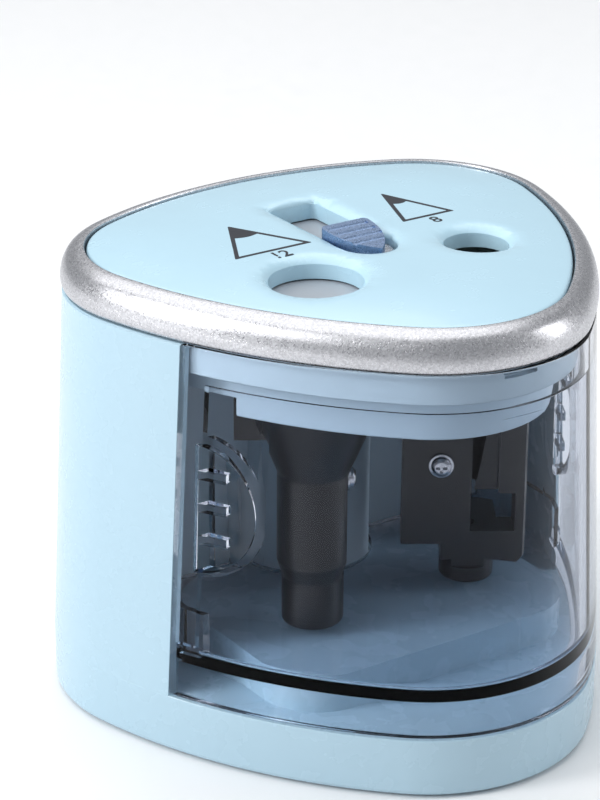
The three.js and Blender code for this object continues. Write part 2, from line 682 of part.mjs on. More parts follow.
// The wall's outward direction and the outer surface point where a grip's flat side lies.
function gripFrame(side) {
  const y = SEAM_Y - SEAM_LIP;
  const ordered = OUTLINE.filter((p) => p.x > 0).sort((a, b) => Math.abs(a.y - y) - Math.abs(b.y - y));
  const near = ordered[0];
  const offset = wallOffset(GRIP_Z);
  const out = new THREE.Vector3(side * near.nx, near.ny, 0);
  const forward = new THREE.Vector3(side * near.ny, -near.nx, 0);
  const shift = (near.y + near.ny * offset - y) / near.nx;
  const origin = new THREE.Vector3(side * (near.x + near.nx * offset), near.y + near.ny * offset, GRIP_Z)
    .addScaledVector(forward, shift);
  return { origin, out, forward };
}

// A prism over a [forward, out] outline, upright, placed in a grip's frame.
function gripPrism(frame, points, z0, z1) {
  const shape = new THREE.Shape();
  points.forEach(([a, b], i) => {
    const x = frame.origin.x + frame.forward.x * a + frame.out.x * b;
    const y = frame.origin.y + frame.forward.y * a + frame.out.y * b;
    if (i) {
      shape.lineTo(x, y);
    } else {
      shape.moveTo(x, y);
    }
  });
  return slab(shape, z0, z1);
}

function grip(side) {
  const frame = gripFrame(side);
  const z0 = GRIP_Z - GRIP_R - 4;
  const z1 = GRIP_Z + GRIP_R + 4;
  const round = (r, from, to) => rod(frame.origin, frame.out, r, from, to, FINE_ROUND);
  const floor = -GRIP_DEPTH;
  const bossBack = floor - 1.3;
  const bossEnd = GRIP_R + 1.3;
  const bossTip = bossEnd + 1;
  const bossOutline = [[0, -1], [0, bossBack], [GRIP_FLOOR + 1, bossBack], [bossTip, -2.2], [bossTip, -1]];
  const boss = round(bossEnd, bossBack - 1, 0).intersect(gripPrism(frame, bossOutline, z0, z1));
  const pocketTip = GRIP_R + 0.5;
  const pocketOutline = [[0, 4], [0, floor], [GRIP_FLOOR, floor], [pocketTip, -0.7], [pocketTip, 4]];
  const pocket = round(GRIP_R, floor - 1, 4).intersect(gripPrism(frame, pocketOutline, z0, z1));
  const ribs = [-6, 0, 6].map((dz) => gripPrism(
    frame, [[0, -0.6], [0, floor - 0.4], [GRIP_FLOOR, floor - 0.4], [GRIP_FLOOR, -0.9]],
    GRIP_Z + dz - 0.8, GRIP_Z + dz + 0.8,
  ));
  return { boss, pocket, ribs };
}

// The tray behind the seam is no wider than the shell's mouth, so the bin slides out.
const TRAY_TOP_Z = BIN_FLOOR_TOP + 8;

function halfWidthAt(y, offset) {
  const wall = OUTLINE.filter((p) => p.x > 0).map((p) => [p.x + p.nx * offset, p.y + p.ny * offset]);
  const i = wall.findIndex((point) => point[1] > y);
  const [x0, y0] = wall[i - 1];
  const [x1, y1] = wall[i];
  return x0 + (x1 - x0) * (y - y0) / (y1 - y0);
}

function tray(shrink, z0, z1) {
  const offset = wallOffset(TRAY_TOP_Z) - SHELL_WALL;
  const half = halfWidthAt(SEAM_Y, offset) - 2 * SEAT_GAP - shrink;
  const reach = offset - 2 * SEAT_GAP - shrink;
  return plate([[reach, z0], [reach, z1]])
    .intersect(block(-half, half, -FAR, PARTITION_Y - 2 * SEAT_GAP, z0, z1));
}

function shavingsBin() {
  const bottom = BASE_TOP_Z + SEAT_GAP;
  const top = HEAD_Z - SEAT_GAP;
  const wall = ring([
    [wallOffset(bottom) - BIN_WALL, bottom],
    [wallOffset(bottom), bottom],
    [wallOffset(top), top],
    [wallOffset(top) - BIN_LIP_WALL, top],
    [wallOffset(BIN_RIM_Z) - BIN_LIP_WALL, BIN_RIM_Z],
    [wallOffset(BIN_RIM_Z) - BIN_WALL, BIN_RIM_Z],
  ]).intersect(ahead(SEAM_Y - SEAT_GAP));
  // Near the seam the wall thins to a lip.
  const lipCut = ring([
    [-3, BIN_FLOOR_TOP + 2],
    [wallOffset(BIN_FLOOR_TOP + 2) - BIN_LIP_WALL, BIN_FLOOR_TOP + 2],
    [wallOffset(BIN_RIM_Z + 1) - BIN_LIP_WALL, BIN_RIM_Z + 1],
    [-3, BIN_RIM_Z + 1],
  ]).intersect(behind(SEAM_Y - SEAM_LIP));
  let body = wall.subtract(lipCut);
  const joinOffset = wallOffset(BIN_FLOOR_Z) - BIN_WALL / 2;
  const floorFront = plate([[joinOffset, BIN_FLOOR_Z], [joinOffset, BIN_FLOOR_TOP]])
    .intersect(ahead(SEAM_Y - SEAT_GAP));
  const sleeveRoom = MOTOR_SLEEVE_R + 2 * SEAT_GAP;
  const floor = floorFront.add(tray(0, BIN_FLOOR_Z, BIN_FLOOR_TOP))
    .subtract(post(0, MOTOR_Y, sleeveRoom, sleeveRoom, 0, FAR, FINE_ROUND));
  // A fillet-like bevel joins the floor to the wall.
  const inner = wallOffset(BIN_FLOOR_TOP) - BIN_WALL;
  const bevel = ring([
    [inner - 1.5, BIN_FLOOR_TOP - 0.4],
    [inner + 0.5, BIN_FLOOR_TOP - 0.4],
    [inner + 0.5, BIN_FLOOR_TOP + 1.9],
    [inner - 0.3, BIN_FLOOR_TOP + 1.1],
  ]).intersect(ahead(SEAM_Y - SEAM_LIP));
  const trayZ = BIN_FLOOR_TOP - 0.4;
  const trayWall = tray(0, trayZ, TRAY_TOP_Z).subtract(tray(BIN_LIP_WALL, trayZ - 1, TRAY_TOP_Z + 1))
    .intersect(behind(SEAM_Y - SEAM_LIP));
  body = union(body, floor, bevel, trayWall);
  for (const side of [-1, 1]) {
    const { boss, pocket, ribs } = grip(side);
    body = body.add(boss.intersect(ahead(SEAM_Y - SEAM_LIP))).subtract(pocket);
    body = union(body, ...ribs.map((rib) => rib.intersect(ahead(SEAM_Y - SEAM_LIP))));
  }
  const frontInner = -PANEL_DEPTH / 2 - wallOffset(BIN_RIM_Z) + BIN_WALL;
  const tab = block(-5.3, 5.3, frontInner - 1, frontInner + 0.25, BIN_RIM_Z - 2, BIN_RIM_Z - 0.2);
  return body.add(tab);
}

add('shavings_bin', shavingsBin(), new THREE.MeshStandardMaterial({
  color: SMOKE, roughness: 0.05, metalness: 0, transparent: true, opacity: 0.35,
}));

// ---- cutter holders

const HOLDER_TOP_Z = HEAD_FLOOR_Z - SEAT_GAP;
const NECK_TOP_Z = COVER_TOP_Z + 0.2;

// Puts a body made about the Z axis onto a cutter axis, turned by the cutters' rest angle.
function onAxis(body, side) {
  return body.rotate([0, 0, CUTTER_TURN]).translate([side * HOLE_X, HOLE_Y, 0]);
}

function pencilBore(boreR, mouthZ) {
  return turned([
    [0, CUTTER_BOTTOM_Z + 6],
    [1.0, CUTTER_BOTTOM_Z + 6],
    [boreR, mouthZ],
    [boreR, NECK_TOP_Z + 1],
    [0, NECK_TOP_Z + 1],
  ], 0, 0);
}

// Large holder: a cup that narrows to a stem with flat sides and a round foot.
const CUP_R = 12.3;
const STEM_R = 6.3;
const STEM_FLAT = 5.1;
const STEM_FLAT_Y = -2.5;
const LARGE_FOOT_R = 5.4;
const STEM_TOP_Z = HOLDER_TOP_Z - 17;
const STEM_BOTTOM_Z = CUTTER_BOTTOM_Z + 12;
const WING_R = 13.6;
const WING_DROP = 11;
const WING_SLOPE = -32;

function largeHolder() {
  const outer = turned([
    [0, CUTTER_BOTTOM_Z],
    [LARGE_FOOT_R - 0.8, CUTTER_BOTTOM_Z],
    [LARGE_FOOT_R, CUTTER_BOTTOM_Z + 0.8],
    [LARGE_FOOT_R, CUTTER_BOTTOM_Z + 9],
    [STEM_R, STEM_BOTTOM_Z],
    [STEM_R, STEM_TOP_Z],
    [CUP_R, HOLDER_TOP_Z - 2],
    [CUP_R, HOLDER_TOP_Z],
    [LARGE_NECK_R, HOLDER_TOP_Z],
    [LARGE_NECK_R, NECK_TOP_Z],
    [0, NECK_TOP_Z],
  ], 0, 0);
  const slope = block(-WING_R - 6, 0, -3, 3, -9, 0).rotate([0, WING_SLOPE, 0])
    .translate([-CUP_R + 4, 0, HOLDER_TOP_Z - WING_DROP - 0.2]);
  const wingTop = HEAD_FLOOR_Z - COLLAR_DROP - SEAT_GAP;
  const wing = block(-WING_R, -LARGE_BORE_R, -1.4, 1.4, HOLDER_TOP_Z - WING_DROP, wingTop)
    .subtract(slope);
  const bladeFlat = block(STEM_FLAT, FAR, STEM_FLAT_Y, FAR, CUTTER_BOTTOM_Z + 9, STEM_TOP_Z + 2.5);
  const chipSlot = block(0.5, FAR, -1.2, 3.2, CUTTER_BOTTOM_Z + 13, STEM_TOP_Z - 4);
  return outer.add(wing).subtract(bladeFlat).subtract(pencilBore(LARGE_BORE_R, STEM_TOP_Z + 6))
    .subtract(chipSlot);
}

add('cutter_holder_large', onAxis(largeHolder(), -1), plastic(BLACK, 0.45));

// Small holder: an open drum with a flat blade plate, a chip mouth, a window and a round foot.
const DRUM_R = 10.8;
const PLATE_REACH = 12.2;
const PLATE_FACE = 4.0;
const PLATE_THICKNESS = 2.6;
const SMALL_FOOT_R = 5.0;
const DRUM_BOTTOM_Z = CUTTER_BOTTOM_Z + 4.5;
const PLATE_BOTTOM_Z = CUTTER_BOTTOM_Z + 7.5;

function smallHolder() {
  let body = turned([
    [0, CUTTER_BOTTOM_Z],
    [SMALL_FOOT_R - 0.8, CUTTER_BOTTOM_Z],
    [SMALL_FOOT_R, CUTTER_BOTTOM_Z + 0.8],
    [SMALL_FOOT_R, DRUM_BOTTOM_Z],
    [DRUM_R - 1, DRUM_BOTTOM_Z - 0.6],
    [DRUM_R, DRUM_BOTTOM_Z + 0.6],
    [DRUM_R, HOLDER_TOP_Z],
    [SMALL_NECK_R, HOLDER_TOP_Z],
    [SMALL_NECK_R, NECK_TOP_Z],
    [0, NECK_TOP_Z],
  ], 0, 0);
  // The front and the left of the drum are cut back to the blade plate and the core.
  const topZ = HOLDER_TOP_Z - 2.5;
  body = body.subtract(block(-FAR, FAR, -FAR, -PLATE_FACE, CUTTER_BOTTOM_Z + 3, topZ));
  body = body.subtract(block(-FAR, -SMALL_FOOT_R, -FAR, FAR, CUTTER_BOTTOM_Z + 3, topZ));
  const plateBack = PLATE_THICKNESS - PLATE_FACE;
  body = body.add(block(-PLATE_REACH, 0, -PLATE_FACE, plateBack, PLATE_BOTTOM_Z, HOLDER_TOP_Z));
  body = body.subtract(block(0.3, 5.4, -FAR, -2.2, PLATE_BOTTOM_Z + 10, topZ));
  body = body.subtract(block(0.2, DRUM_R - 2.4, -FAR, FAR, PLATE_BOTTOM_Z + 2.6, PLATE_BOTTOM_Z + 10));
  body = body.subtract(block(SMALL_FOOT_R + 0.6, FAR, 2, FAR, CUTTER_BOTTOM_Z + 3, topZ));
  return body.subtract(pencilBore(SMALL_BORE_R, HOLDER_TOP_Z - 12));
}

add('cutter_holder_small', onAxis(smallHolder(), 1), plastic(BLACK, 0.45));

// Blades lie on the holders' flats, each held by a round cross-head screw.
const BLADE = 0.6;
const SHEET_GAP = 0.06;
const BLADE_SCREW_R = 2.3;
const LARGE_SCREW_Y = 0.2;
const LARGE_SCREW_Z = STEM_TOP_Z - 1.6;
const SMALL_SCREW_X = -5.3;
const SMALL_SCREW_Z = CUTTER_BOTTOM_Z + 23;
const X_OUT = new THREE.Vector3(1, 0, 0);
const Y_OUT = new THREE.Vector3(0, -1, 0);

function largeBlade() {
  const x = STEM_FLAT + SHEET_GAP;
  const hole = new THREE.Vector3(0, LARGE_SCREW_Y, LARGE_SCREW_Z);
  return block(x, x + BLADE, STEM_FLAT_Y + SEAT_GAP, 4.2, STEM_BOTTOM_Z + 1.5, STEM_TOP_Z + 1.6)
    .subtract(rod(hole, X_OUT, 1.4, 0, 20, 14));
}

function smallBlade() {
  const y = PLATE_THICKNESS - PLATE_FACE + SHEET_GAP;
  const reach = PLATE_REACH - 1.4;
  return block(-reach, -SMALL_FOOT_R - 0.5, y, y + BLADE, PLATE_BOTTOM_Z + 3, HOLDER_TOP_Z - 4);
}

// A round screw with its axis along a horizontal direction, its head standing on the origin.
function bladeScrew(origin, out, shank) {
  const head = rod(origin, out, BLADE_SCREW_R, SHEET_GAP, 0.45, 14);
  const dome = rod(origin, out, BLADE_SCREW_R * 0.74, 0.3, 1.5, 14);
  const stem = rod(origin, out, 1.1, -shank, 0.3, 8);
  const arm = BLADE_SCREW_R * 0.42;
  const half = BLADE_SCREW_R * 0.12;
  let body = union(head, dome, stem);
  for (const [wide, high] of [[arm, half], [half, arm]]) {
    const bar = new THREE.BoxGeometry(wide * 2, 1.2, high * 2);
    const spin = new THREE.Quaternion().setFromUnitVectors(new THREE.Vector3(0, 1, 0), out);
    const middle = out.clone().multiplyScalar(1.6).add(origin);
    body = body.subtract(solid(bar.applyQuaternion(spin).translate(middle.x, middle.y, middle.z)));
  }
  return body;
}

add('blade_large', onAxis(largeBlade(), -1), metal(STEEL, 0.2));
add('blade_small', onAxis(smallBlade(), 1), metal(STEEL, 0.2));

const largeSeat = new THREE.Vector3(STEM_FLAT + SHEET_GAP + BLADE, LARGE_SCREW_Y, LARGE_SCREW_Z);
const smallSeat = new THREE.Vector3(SMALL_SCREW_X, -PLATE_FACE, SMALL_SCREW_Z);
add('blade_screw_large', onAxis(bladeScrew(largeSeat, X_OUT, 0.4), -1), metal(STEEL, 0.25));
add('blade_screw_small', onAxis(bladeScrew(smallSeat, Y_OUT, -0.1), 1), metal(STEEL, 0.25));

// ---- gear train

const PRESSURE_ANGLE = THREE.MathUtils.degToRad(20);

function involute(angle) {
  return Math.tan(angle) - angle;
}

// A gear outline with involute flanks, one tooth centred on the phase angle.
function gearOutline(teeth, module, phase) {
  const pitchR = module * teeth / 2;
  const baseR = pitchR * Math.cos(PRESSURE_ANGLE);
  const rootR = pitchR - DEDENDUM * module;
  const tipR = pitchR + ADDENDUM * module;
  const halfTooth = Math.PI / (2 * teeth) - BACKLASH / (2 * pitchR) + involute(PRESSURE_ANGLE);
  const halfAt = (r) => halfTooth - (r > baseR ? involute(Math.acos(baseR / r)) : 0);
  const rootHalf = Math.min(halfAt(rootR), Math.PI / teeth * 0.9);
  const flank = [[rootR, rootHalf], [tipR, halfAt(tipR)]];
  const points = [];
  for (let i = 0; i < teeth; i++) {
    const middle = phase + 2 * Math.PI * i / teeth;
    for (const [r, half] of flank) {
      points.push(new THREE.Vector2(r * Math.cos(middle - half), r * Math.sin(middle - half)));
    }
    for (const [r, half] of [...flank].reverse()) {
      points.push(new THREE.Vector2(r * Math.cos(middle + half), r * Math.sin(middle + half)));
    }
  }
  return new THREE.Shape(points);
}

// The phase that puts a following gear in mesh, where angle points from the leader to it.
function meshPhase(angle, leaderPhase, leaderTeeth, teeth) {
  return angle + Math.PI - (leaderTeeth / teeth) * (leaderPhase - angle) + Math.PI / teeth;
}

function gear(x, y, teeth, module, phase, z0, z1) {
  return slab(gearOutline(teeth, module, phase), z0, z1).translate([x, y, 0]);
}

const GEAR_SEAT = 0.2;
const SHAFT_R = 1.0;

for (const [name, side, neckR] of [['large', -1, LARGE_NECK_R], ['small', 1, SMALL_NECK_R]]) {
  const angle = Math.atan2(HOLE_Y - REDUCTION_Y, side * HOLE_X);
  const phase = meshPhase(angle, 0, REDUCTION_TEETH, CUTTER_TEETH);
  const z1 = CUTTER_GEAR_Z + CUTTER_GEAR_HEIGHT;
  const bore = neckR + GEAR_SEAT;
  const body = gear(side * HOLE_X, HOLE_Y, CUTTER_TEETH, CUTTER_MODULE, phase, CUTTER_GEAR_Z, z1)
    .subtract(post(side * HOLE_X, HOLE_Y, bore, bore, 0, FAR));
  add(`cutter_gear_${name}`, body, plastic(WHITE, 0.5));
}

function reductionGear() {
  const wheel = gear(0, REDUCTION_Y, WHEEL_TEETH, MOTOR_MODULE, 0, WHEEL_Z, WHEEL_Z + WHEEL_HEIGHT);
  const small = gear(0, REDUCTION_Y, REDUCTION_TEETH, CUTTER_MODULE, 0,
    WHEEL_Z + WHEEL_HEIGHT / 2, CUTTER_GEAR_Z + CUTTER_GEAR_HEIGHT);
  return wheel.add(small).subtract(post(0, REDUCTION_Y, AXLE_R + 0.15, AXLE_R + 0.15, 0, FAR, 16));
}

add('reduction_gear', reductionGear(), plastic(WHITE, 0.5));
const axle = post(0, REDUCTION_Y, AXLE_R, AXLE_R, HEAD_FLOOR_Z + 0.1, COVER_TOP_Z + 0.1, 16);
add('reduction_axle', axle, metal(STEEL));

// ---- motor

const MOTOR_TOP_Z = HEAD_FLOOR_Z - 0.6;
const MOTOR_Z = MOTOR_TOP_Z - MOTOR_LENGTH;
const CAN_WALL = 0.8;
const MOTOR_BOSS_R = 3.2;

function motorCan() {
  return turned([
    [0, MOTOR_Z],
    [MOTOR_R, MOTOR_Z],
    [MOTOR_R, MOTOR_TOP_Z],
    [MOTOR_BOSS_R, MOTOR_TOP_Z],
    [MOTOR_BOSS_R, MOTOR_TOP_Z + 1.5],
    [0, MOTOR_TOP_Z + 1.5],
  ], 0, MOTOR_Y).subtract(turned([
    [0, MOTOR_Z - 1],
    [MOTOR_R - CAN_WALL, MOTOR_Z - 1],
    [MOTOR_R - CAN_WALL, MOTOR_TOP_Z - CAN_WALL],
    [SHAFT_R + GEAR_SEAT, MOTOR_TOP_Z - CAN_WALL],
    [SHAFT_R + GEAR_SEAT, MOTOR_TOP_Z + 3],
    [0, MOTOR_TOP_Z + 3],
  ], 0, MOTOR_Y));
}

add('motor_can', motorCan(), metal(STEEL, 0.3));

const capR = MOTOR_R - CAN_WALL - 0.2;
add('motor_end_cap', post(0, MOTOR_Y, capR, capR, MOTOR_Z - 1.2, MOTOR_Z + 1.6), plastic(WHITE, 0.6));

function motorRotor() {
  return turned([
    [0, MOTOR_Z + 2.2],
    [SHAFT_R, MOTOR_Z + 2.2],
    [SHAFT_R, MOTOR_Z + 5],
    [MOTOR_R - 2.6, MOTOR_Z + 5],
    [MOTOR_R - 2.6, MOTOR_TOP_Z - 4],
    [SHAFT_R, MOTOR_TOP_Z - 4],
    [SHAFT_R, WHEEL_Z + WHEEL_HEIGHT + 0.6],
    [0, WHEEL_Z + WHEEL_HEIGHT + 0.6],
  ], 0, MOTOR_Y, 20);
}

add('motor_rotor', motorRotor(), metal(GREY, 0.4));

function motorPinion() {
  const phase = meshPhase(Math.PI / 2, 0, WHEEL_TEETH, PINION_TEETH);
  return gear(0, MOTOR_Y, PINION_TEETH, MOTOR_MODULE, phase, WHEEL_Z - 0.2, WHEEL_Z + WHEEL_HEIGHT + 0.2)
    .subtract(post(0, MOTOR_Y, SHAFT_R + 0.12, SHAFT_R + 0.12, 0, FAR, 20));
}

add('motor_pinion', motorPinion(), metal(0xc8a24a, 0.35));

// ---- batteries, their cradle and contacts

const CRADLE_Z = BASE_TOP_Z + SEAT_GAP;
const SHELF = 0.8;
const CONTACT = 0.3;
const CELL_Z = CRADLE_Z + SHELF + CONTACT + 0.8;
const NUB_R = 2.7;
const NUB = 1.0;
const CELL_TOP_Z = CELL_Z + CELL_LENGTH + NUB;
const CELL_LEAN = THREE.MathUtils.degToRad(14.4);
const CELL_ROOM = 0.35;
const CELL_Y = PANEL_DEPTH / 2 + wallOffset(CELL_TOP_Z) - SHELL_WALL - CELL_R - 1.6;
const CRADLE_FRONT_Y = CELL_Y - 11.4;
const CRADLE_HALF = 31.4;

// Four cells side by side along the curved back, alternately up and down.
const CELLS = [-1.5, -0.5, 0.5, 1.5].map((place, i) => {
  const side = Math.sign(place);
  const outer = Math.abs(place) > 1;
  return {
    x: side * (CELL_PITCH / 2 + (outer ? CELL_PITCH * Math.cos(CELL_LEAN) : 0)),
    y: CELL_Y - (outer ? CELL_PITCH * Math.sin(CELL_LEAN) : 0),
    up: i % 2 === 0,
  };
});

CELLS.forEach(({ x, y, up }, i) => {
  const cell = turned([
    [0, 0],
    [CELL_R, 0],
    [CELL_R, CELL_LENGTH],
    [NUB_R, CELL_LENGTH],
    [NUB_R, CELL_LENGTH + NUB],
    [0, CELL_LENGTH + NUB],
  ], 0, 0, 16);
  const placed = up
    ? cell.translate([x, y, CELL_Z])
    : cell.rotate([180, 0, 0]).translate([x, y, CELL_TOP_Z]);
  add(`battery_cell_${i + 1}`, placed, plastic(0x3f6f9e, 0.3));
});

function batteryCradle() {
  const z1 = CELL_TOP_Z + 0.8 + CONTACT + SHELF;
  const footEdge = wallOffset(CRADLE_Z) - SHELL_WALL - SEAT_GAP;
  const topEdge = wallOffset(z1) - SHELL_WALL - SEAT_GAP;
  const room = plate([[footEdge, CRADLE_Z], [topEdge, z1]]);
  let comb = block(-CRADLE_HALF, CRADLE_HALF, CRADLE_FRONT_Y, CELL_Y - 2.5, CRADLE_Z, z1);
  for (const { x, y } of CELLS) {
    comb = comb.subtract(post(x, y, CELL_R + CELL_ROOM, CELL_R + CELL_ROOM, 0, FAR, 16));
  }
  // The contacts need room at both ends of the comb.
  const contactFront = CRADLE_FRONT_Y + 2.8;
  comb = comb.subtract(block(-FAR, FAR, contactFront, FAR, CRADLE_Z + SHELF, CELL_Z));
  comb = comb.subtract(block(-FAR, FAR, contactFront, FAR, CELL_TOP_Z, z1 - SHELF));
  const shelf = block(-CRADLE_HALF, CRADLE_HALF, CRADLE_FRONT_Y, FAR / 2, CRADLE_Z, CRADLE_Z + SHELF);
  const lid = block(-CRADLE_HALF, CRADLE_HALF, CRADLE_FRONT_Y, FAR / 2, z1 - SHELF, z1);
  return union(comb, shelf, lid)
    .subtract(post(0, MOTOR_Y, MOTOR_R + 0.5, MOTOR_R + 0.5, MOTOR_Z - 3, FAR))
    .intersect(room);
}

add('battery_cradle', batteryCradle(), plastic(BLUE, 0.5));

// A sheet contact under or over one or two cells, with a raised pad at each cell.
function contact(cells, atTop) {
  const z0 = atTop ? CELL_TOP_Z + 0.75 : CRADLE_Z + SHELF + 0.05;
  const pad = atTop ? [CELL_TOP_Z + 0.25, z0 + 0.1] : [z0 + 0.1, CELL_Z - 0.25];
  const [a] = cells;
  const b = cells[cells.length - 1];
  const length = Math.hypot(b.x - a.x, b.y - a.y) + 9;
  const lean = THREE.MathUtils.radToDeg(Math.atan2(b.y - a.y, b.x - a.x));
  let body = block(-length / 2, length / 2, -3.5, 3.5, z0, z0 + CONTACT)
    .rotate([0, 0, lean])
    .translate([(a.x + b.x) / 2, (a.y + b.y) / 2, 0]);
  for (const { x, y } of cells) {
    body = body.add(post(x, y, 2.2, 2.2, pad[0], pad[1], 16));
  }
  return body;
}

const BRASS = 0xcdb06a;
add('contact_bottom_left', contact(CELLS.slice(0, 2), false), metal(BRASS));
add('contact_bottom_right', contact(CELLS.slice(2, 4), false), metal(BRASS));
add('contact_top_middle', contact(CELLS.slice(1, 3), true), metal(BRASS));
add('contact_top_positive', contact(CELLS.slice(0, 1), true), metal(BRASS));
add('contact_top_negative', contact(CELLS.slice(3, 4), true), metal(BRASS));

// ---- battery door in the back of the shell

function batteryDoor() {
  let body = ring([
    [BASE_OFFSET - SHELL_WALL, BASE_TOP_Z],
    [BASE_OFFSET, BASE_TOP_Z],
    [HEAD_WALL_OFFSET, HEAD_Z],
    [HEAD_WALL_OFFSET - SHELL_WALL, HEAD_Z],
  ]).intersect(doorSpace(-SEAT_GAP));
  const outerY = PANEL_DEPTH / 2 + wallOffset(DOOR_Z1);
  for (let i = 0; i < 4; i++) {
    const z = DOOR_Z1 - 4 - i * 2.2;
    body = body.subtract(block(-9, 9, outerY - 0.9, FAR, z - 0.5, z + 0.5));
  }
  return body;
}

add('battery_door', batteryDoor(), plastic(BLUE, 0.35));

// ---- start slider, pushed back by a pencil, with its spring and switch

const SLIDER_Z = COVER_TOP_Z + SEAT_GAP;
const STEM_END_Y = 12;

function startSlider() {
  const z1 = SLIDER_Z + SLIDER_THICKNESS;
  const bar = block(-HOLE_X - 3, HOLE_X + 3, -SLIDER_BACK_Y, SLIDER_BACK_Y, SLIDER_Z, z1);
  const largeTip = HOLE_Y + LARGE_BORE_R - 1.5;
  const smallTip = HOLE_Y + SMALL_BORE_R - 1.5;
  return union(
    bar,
    block(-HOLE_X - 2, -HOLE_X + 2, largeTip, 0, SLIDER_Z, z1),
    block(HOLE_X - 2, HOLE_X + 2, smallTip, 0, SLIDER_Z, z1),
    block(SWITCH_X - 2.5, SWITCH_X + 2.5, 0, STEM_END_Y, SLIDER_Z, z1),
  );
}

add('start_slider', startSlider(), plastic(WHITE, 0.5));

const SPRING_TURNS = 5;
const SPRING_R = 0.7;
const SPRING_Z = SLIDER_Z + 0.95;
const WIRE_R = 0.16;

class SpringPath extends THREE.Curve {
  getPoint(t, target = new THREE.Vector3()) {
    const angle = 2 * Math.PI * SPRING_TURNS * t;
    const y = SLIDER_BACK_Y + 0.4 + (SPRING_LENGTH - 0.5) * t;
    return target.set(SPRING_X + SPRING_R * Math.cos(angle), y, SPRING_Z + SPRING_R * Math.sin(angle));
  }
}

function startSpring() {
  const section = new THREE.Shape();
  section.absarc(0, 0, WIRE_R, 0, 2 * Math.PI);
  const options = { extrudePath: new SpringPath(), steps: SPRING_TURNS * 8, curveSegments: 2 };
  return solid(new THREE.ExtrudeGeometry(section, options));
}

add('start_spring', startSpring(), metal(STEEL));

function startSwitch() {
  const y = STEM_END_Y + SLIDER_TRAVEL + 0.7;
  const body = block(SWITCH_X - 3, SWITCH_X + 3, y, y + 6, SLIDER_Z, SHUTTER_Z - 0.3);
  const middle = new THREE.Vector3(SWITCH_X, y, SLIDER_Z + 0.9);
  return body.add(rod(middle, Y_OUT, 0.8, -0.5, 0.5, 14));
}

add('start_switch', startSwitch(), plastic(BLACK, 0.5));

export default sharpener;
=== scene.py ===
"""Looks of the two-hole battery pencil sharpener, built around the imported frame.

Shapes are worked out in millimetres in the part's own frame and scaled to metres
when they become pieces. The front of the object is towards -Y.
"""

import json
import math

import bmesh
import bpy
import numpy as np
from mathutils import Matrix, Vector
from mathutils.geometry import delaunay_2d_cdt


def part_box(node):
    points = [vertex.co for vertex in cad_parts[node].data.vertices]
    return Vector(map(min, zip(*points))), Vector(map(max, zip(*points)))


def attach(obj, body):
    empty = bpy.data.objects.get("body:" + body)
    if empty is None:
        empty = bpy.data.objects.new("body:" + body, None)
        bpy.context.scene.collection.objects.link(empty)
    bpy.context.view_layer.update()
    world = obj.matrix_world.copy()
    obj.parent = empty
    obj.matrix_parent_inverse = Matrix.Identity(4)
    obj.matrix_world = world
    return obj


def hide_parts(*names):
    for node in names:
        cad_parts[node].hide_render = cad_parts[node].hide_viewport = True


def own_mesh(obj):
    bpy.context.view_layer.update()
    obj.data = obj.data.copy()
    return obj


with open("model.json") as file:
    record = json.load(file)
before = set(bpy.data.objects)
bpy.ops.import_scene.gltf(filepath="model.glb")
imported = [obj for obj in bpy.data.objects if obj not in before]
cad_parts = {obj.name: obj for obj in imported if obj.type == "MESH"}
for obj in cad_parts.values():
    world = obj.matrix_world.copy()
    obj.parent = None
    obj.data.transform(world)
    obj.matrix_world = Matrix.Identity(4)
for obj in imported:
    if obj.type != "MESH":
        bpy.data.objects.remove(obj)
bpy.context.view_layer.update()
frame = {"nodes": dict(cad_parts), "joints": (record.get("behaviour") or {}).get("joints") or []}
MM = 0.001


# ------------------------------------------------------------------ sizes, in mm


def span(node):
    """Lowest and highest corner of a CAD node, in mm."""
    low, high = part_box(node)
    return low / MM, high / MM


PANEL_LOW, PANEL_HIGH = span("top_panel")
BEZEL_LOW = span("bezel_ring")[0]
BODY_LOW = span("body_housing")[0]
BIN_LOW = span("shavings_bin")[0]
HEAD_LOW = span("head_case")[0]
KNOB_LOW, KNOB_HIGH = span("selector_knob")
LARGE_LOW, LARGE_HIGH = span("cutter_holder_large")
PART_LOW, PART_HIGH = span("inner_partition")
DOOR_LOW, DOOR_HIGH = span("battery_door")

# Plan outline: rounded corners joined by shallow arcs.
PANEL_WIDTH = PANEL_HIGH.x - PANEL_LOW.x
PANEL_DEPTH = PANEL_HIGH.y - PANEL_LOW.y
BACK_CORNER_R = 21.3
FRONT_CORNER_R = 23.1
BACK_ARC_R = 77.3
SIDE_ARC_R = 91.0

# Outward offsets of the outer wall from the panel outline.
BASE_OFFSET = 7.3
HEAD_WALL_OFFSET = 4.4
BASE_TOP = BIN_LOW.z - 0.3
HEAD_Z = BEZEL_LOW.z
GAP = 0.3

# Walls.
SHELL_WALL = 2.0
BIN_WALL = 2.2
BIN_LIP = 1.2
BIN_FLOOR = 1.6
SEAM_Y = -6.3
SEAM_LIP = 3.7
SEAM_CRACK = 0.12

# Pencil holes, cutters and motor.
HOLE_X = 16.8
HOLE_Y = -9.2
LARGE_HOLE_R = 8.1
SMALL_HOLE_R = 5.7
LARGE_BORE_R = 6.3
SMALL_BORE_R = 4.3
NECK_WALL = 1.6
CUTTER_TURN = math.radians(-33)
MOTOR_Y = next(j["pos_m"][1] for j in frame["joints"] if j["name"] == "motor_spin") / MM
PARTITION_Y = MOTOR_Y + 0.5
SLEEVE_R = 12.0

FAR = 200.0
FINE = math.radians(1.6)
ROUND = 72


def wall_offset(z):
    draft = (BASE_OFFSET - HEAD_WALL_OFFSET) / (HEAD_Z - BASE_TOP)
    return BASE_OFFSET if z < BASE_TOP else BASE_OFFSET - draft * (z - BASE_TOP)


# ------------------------------------------------------------------ outlines


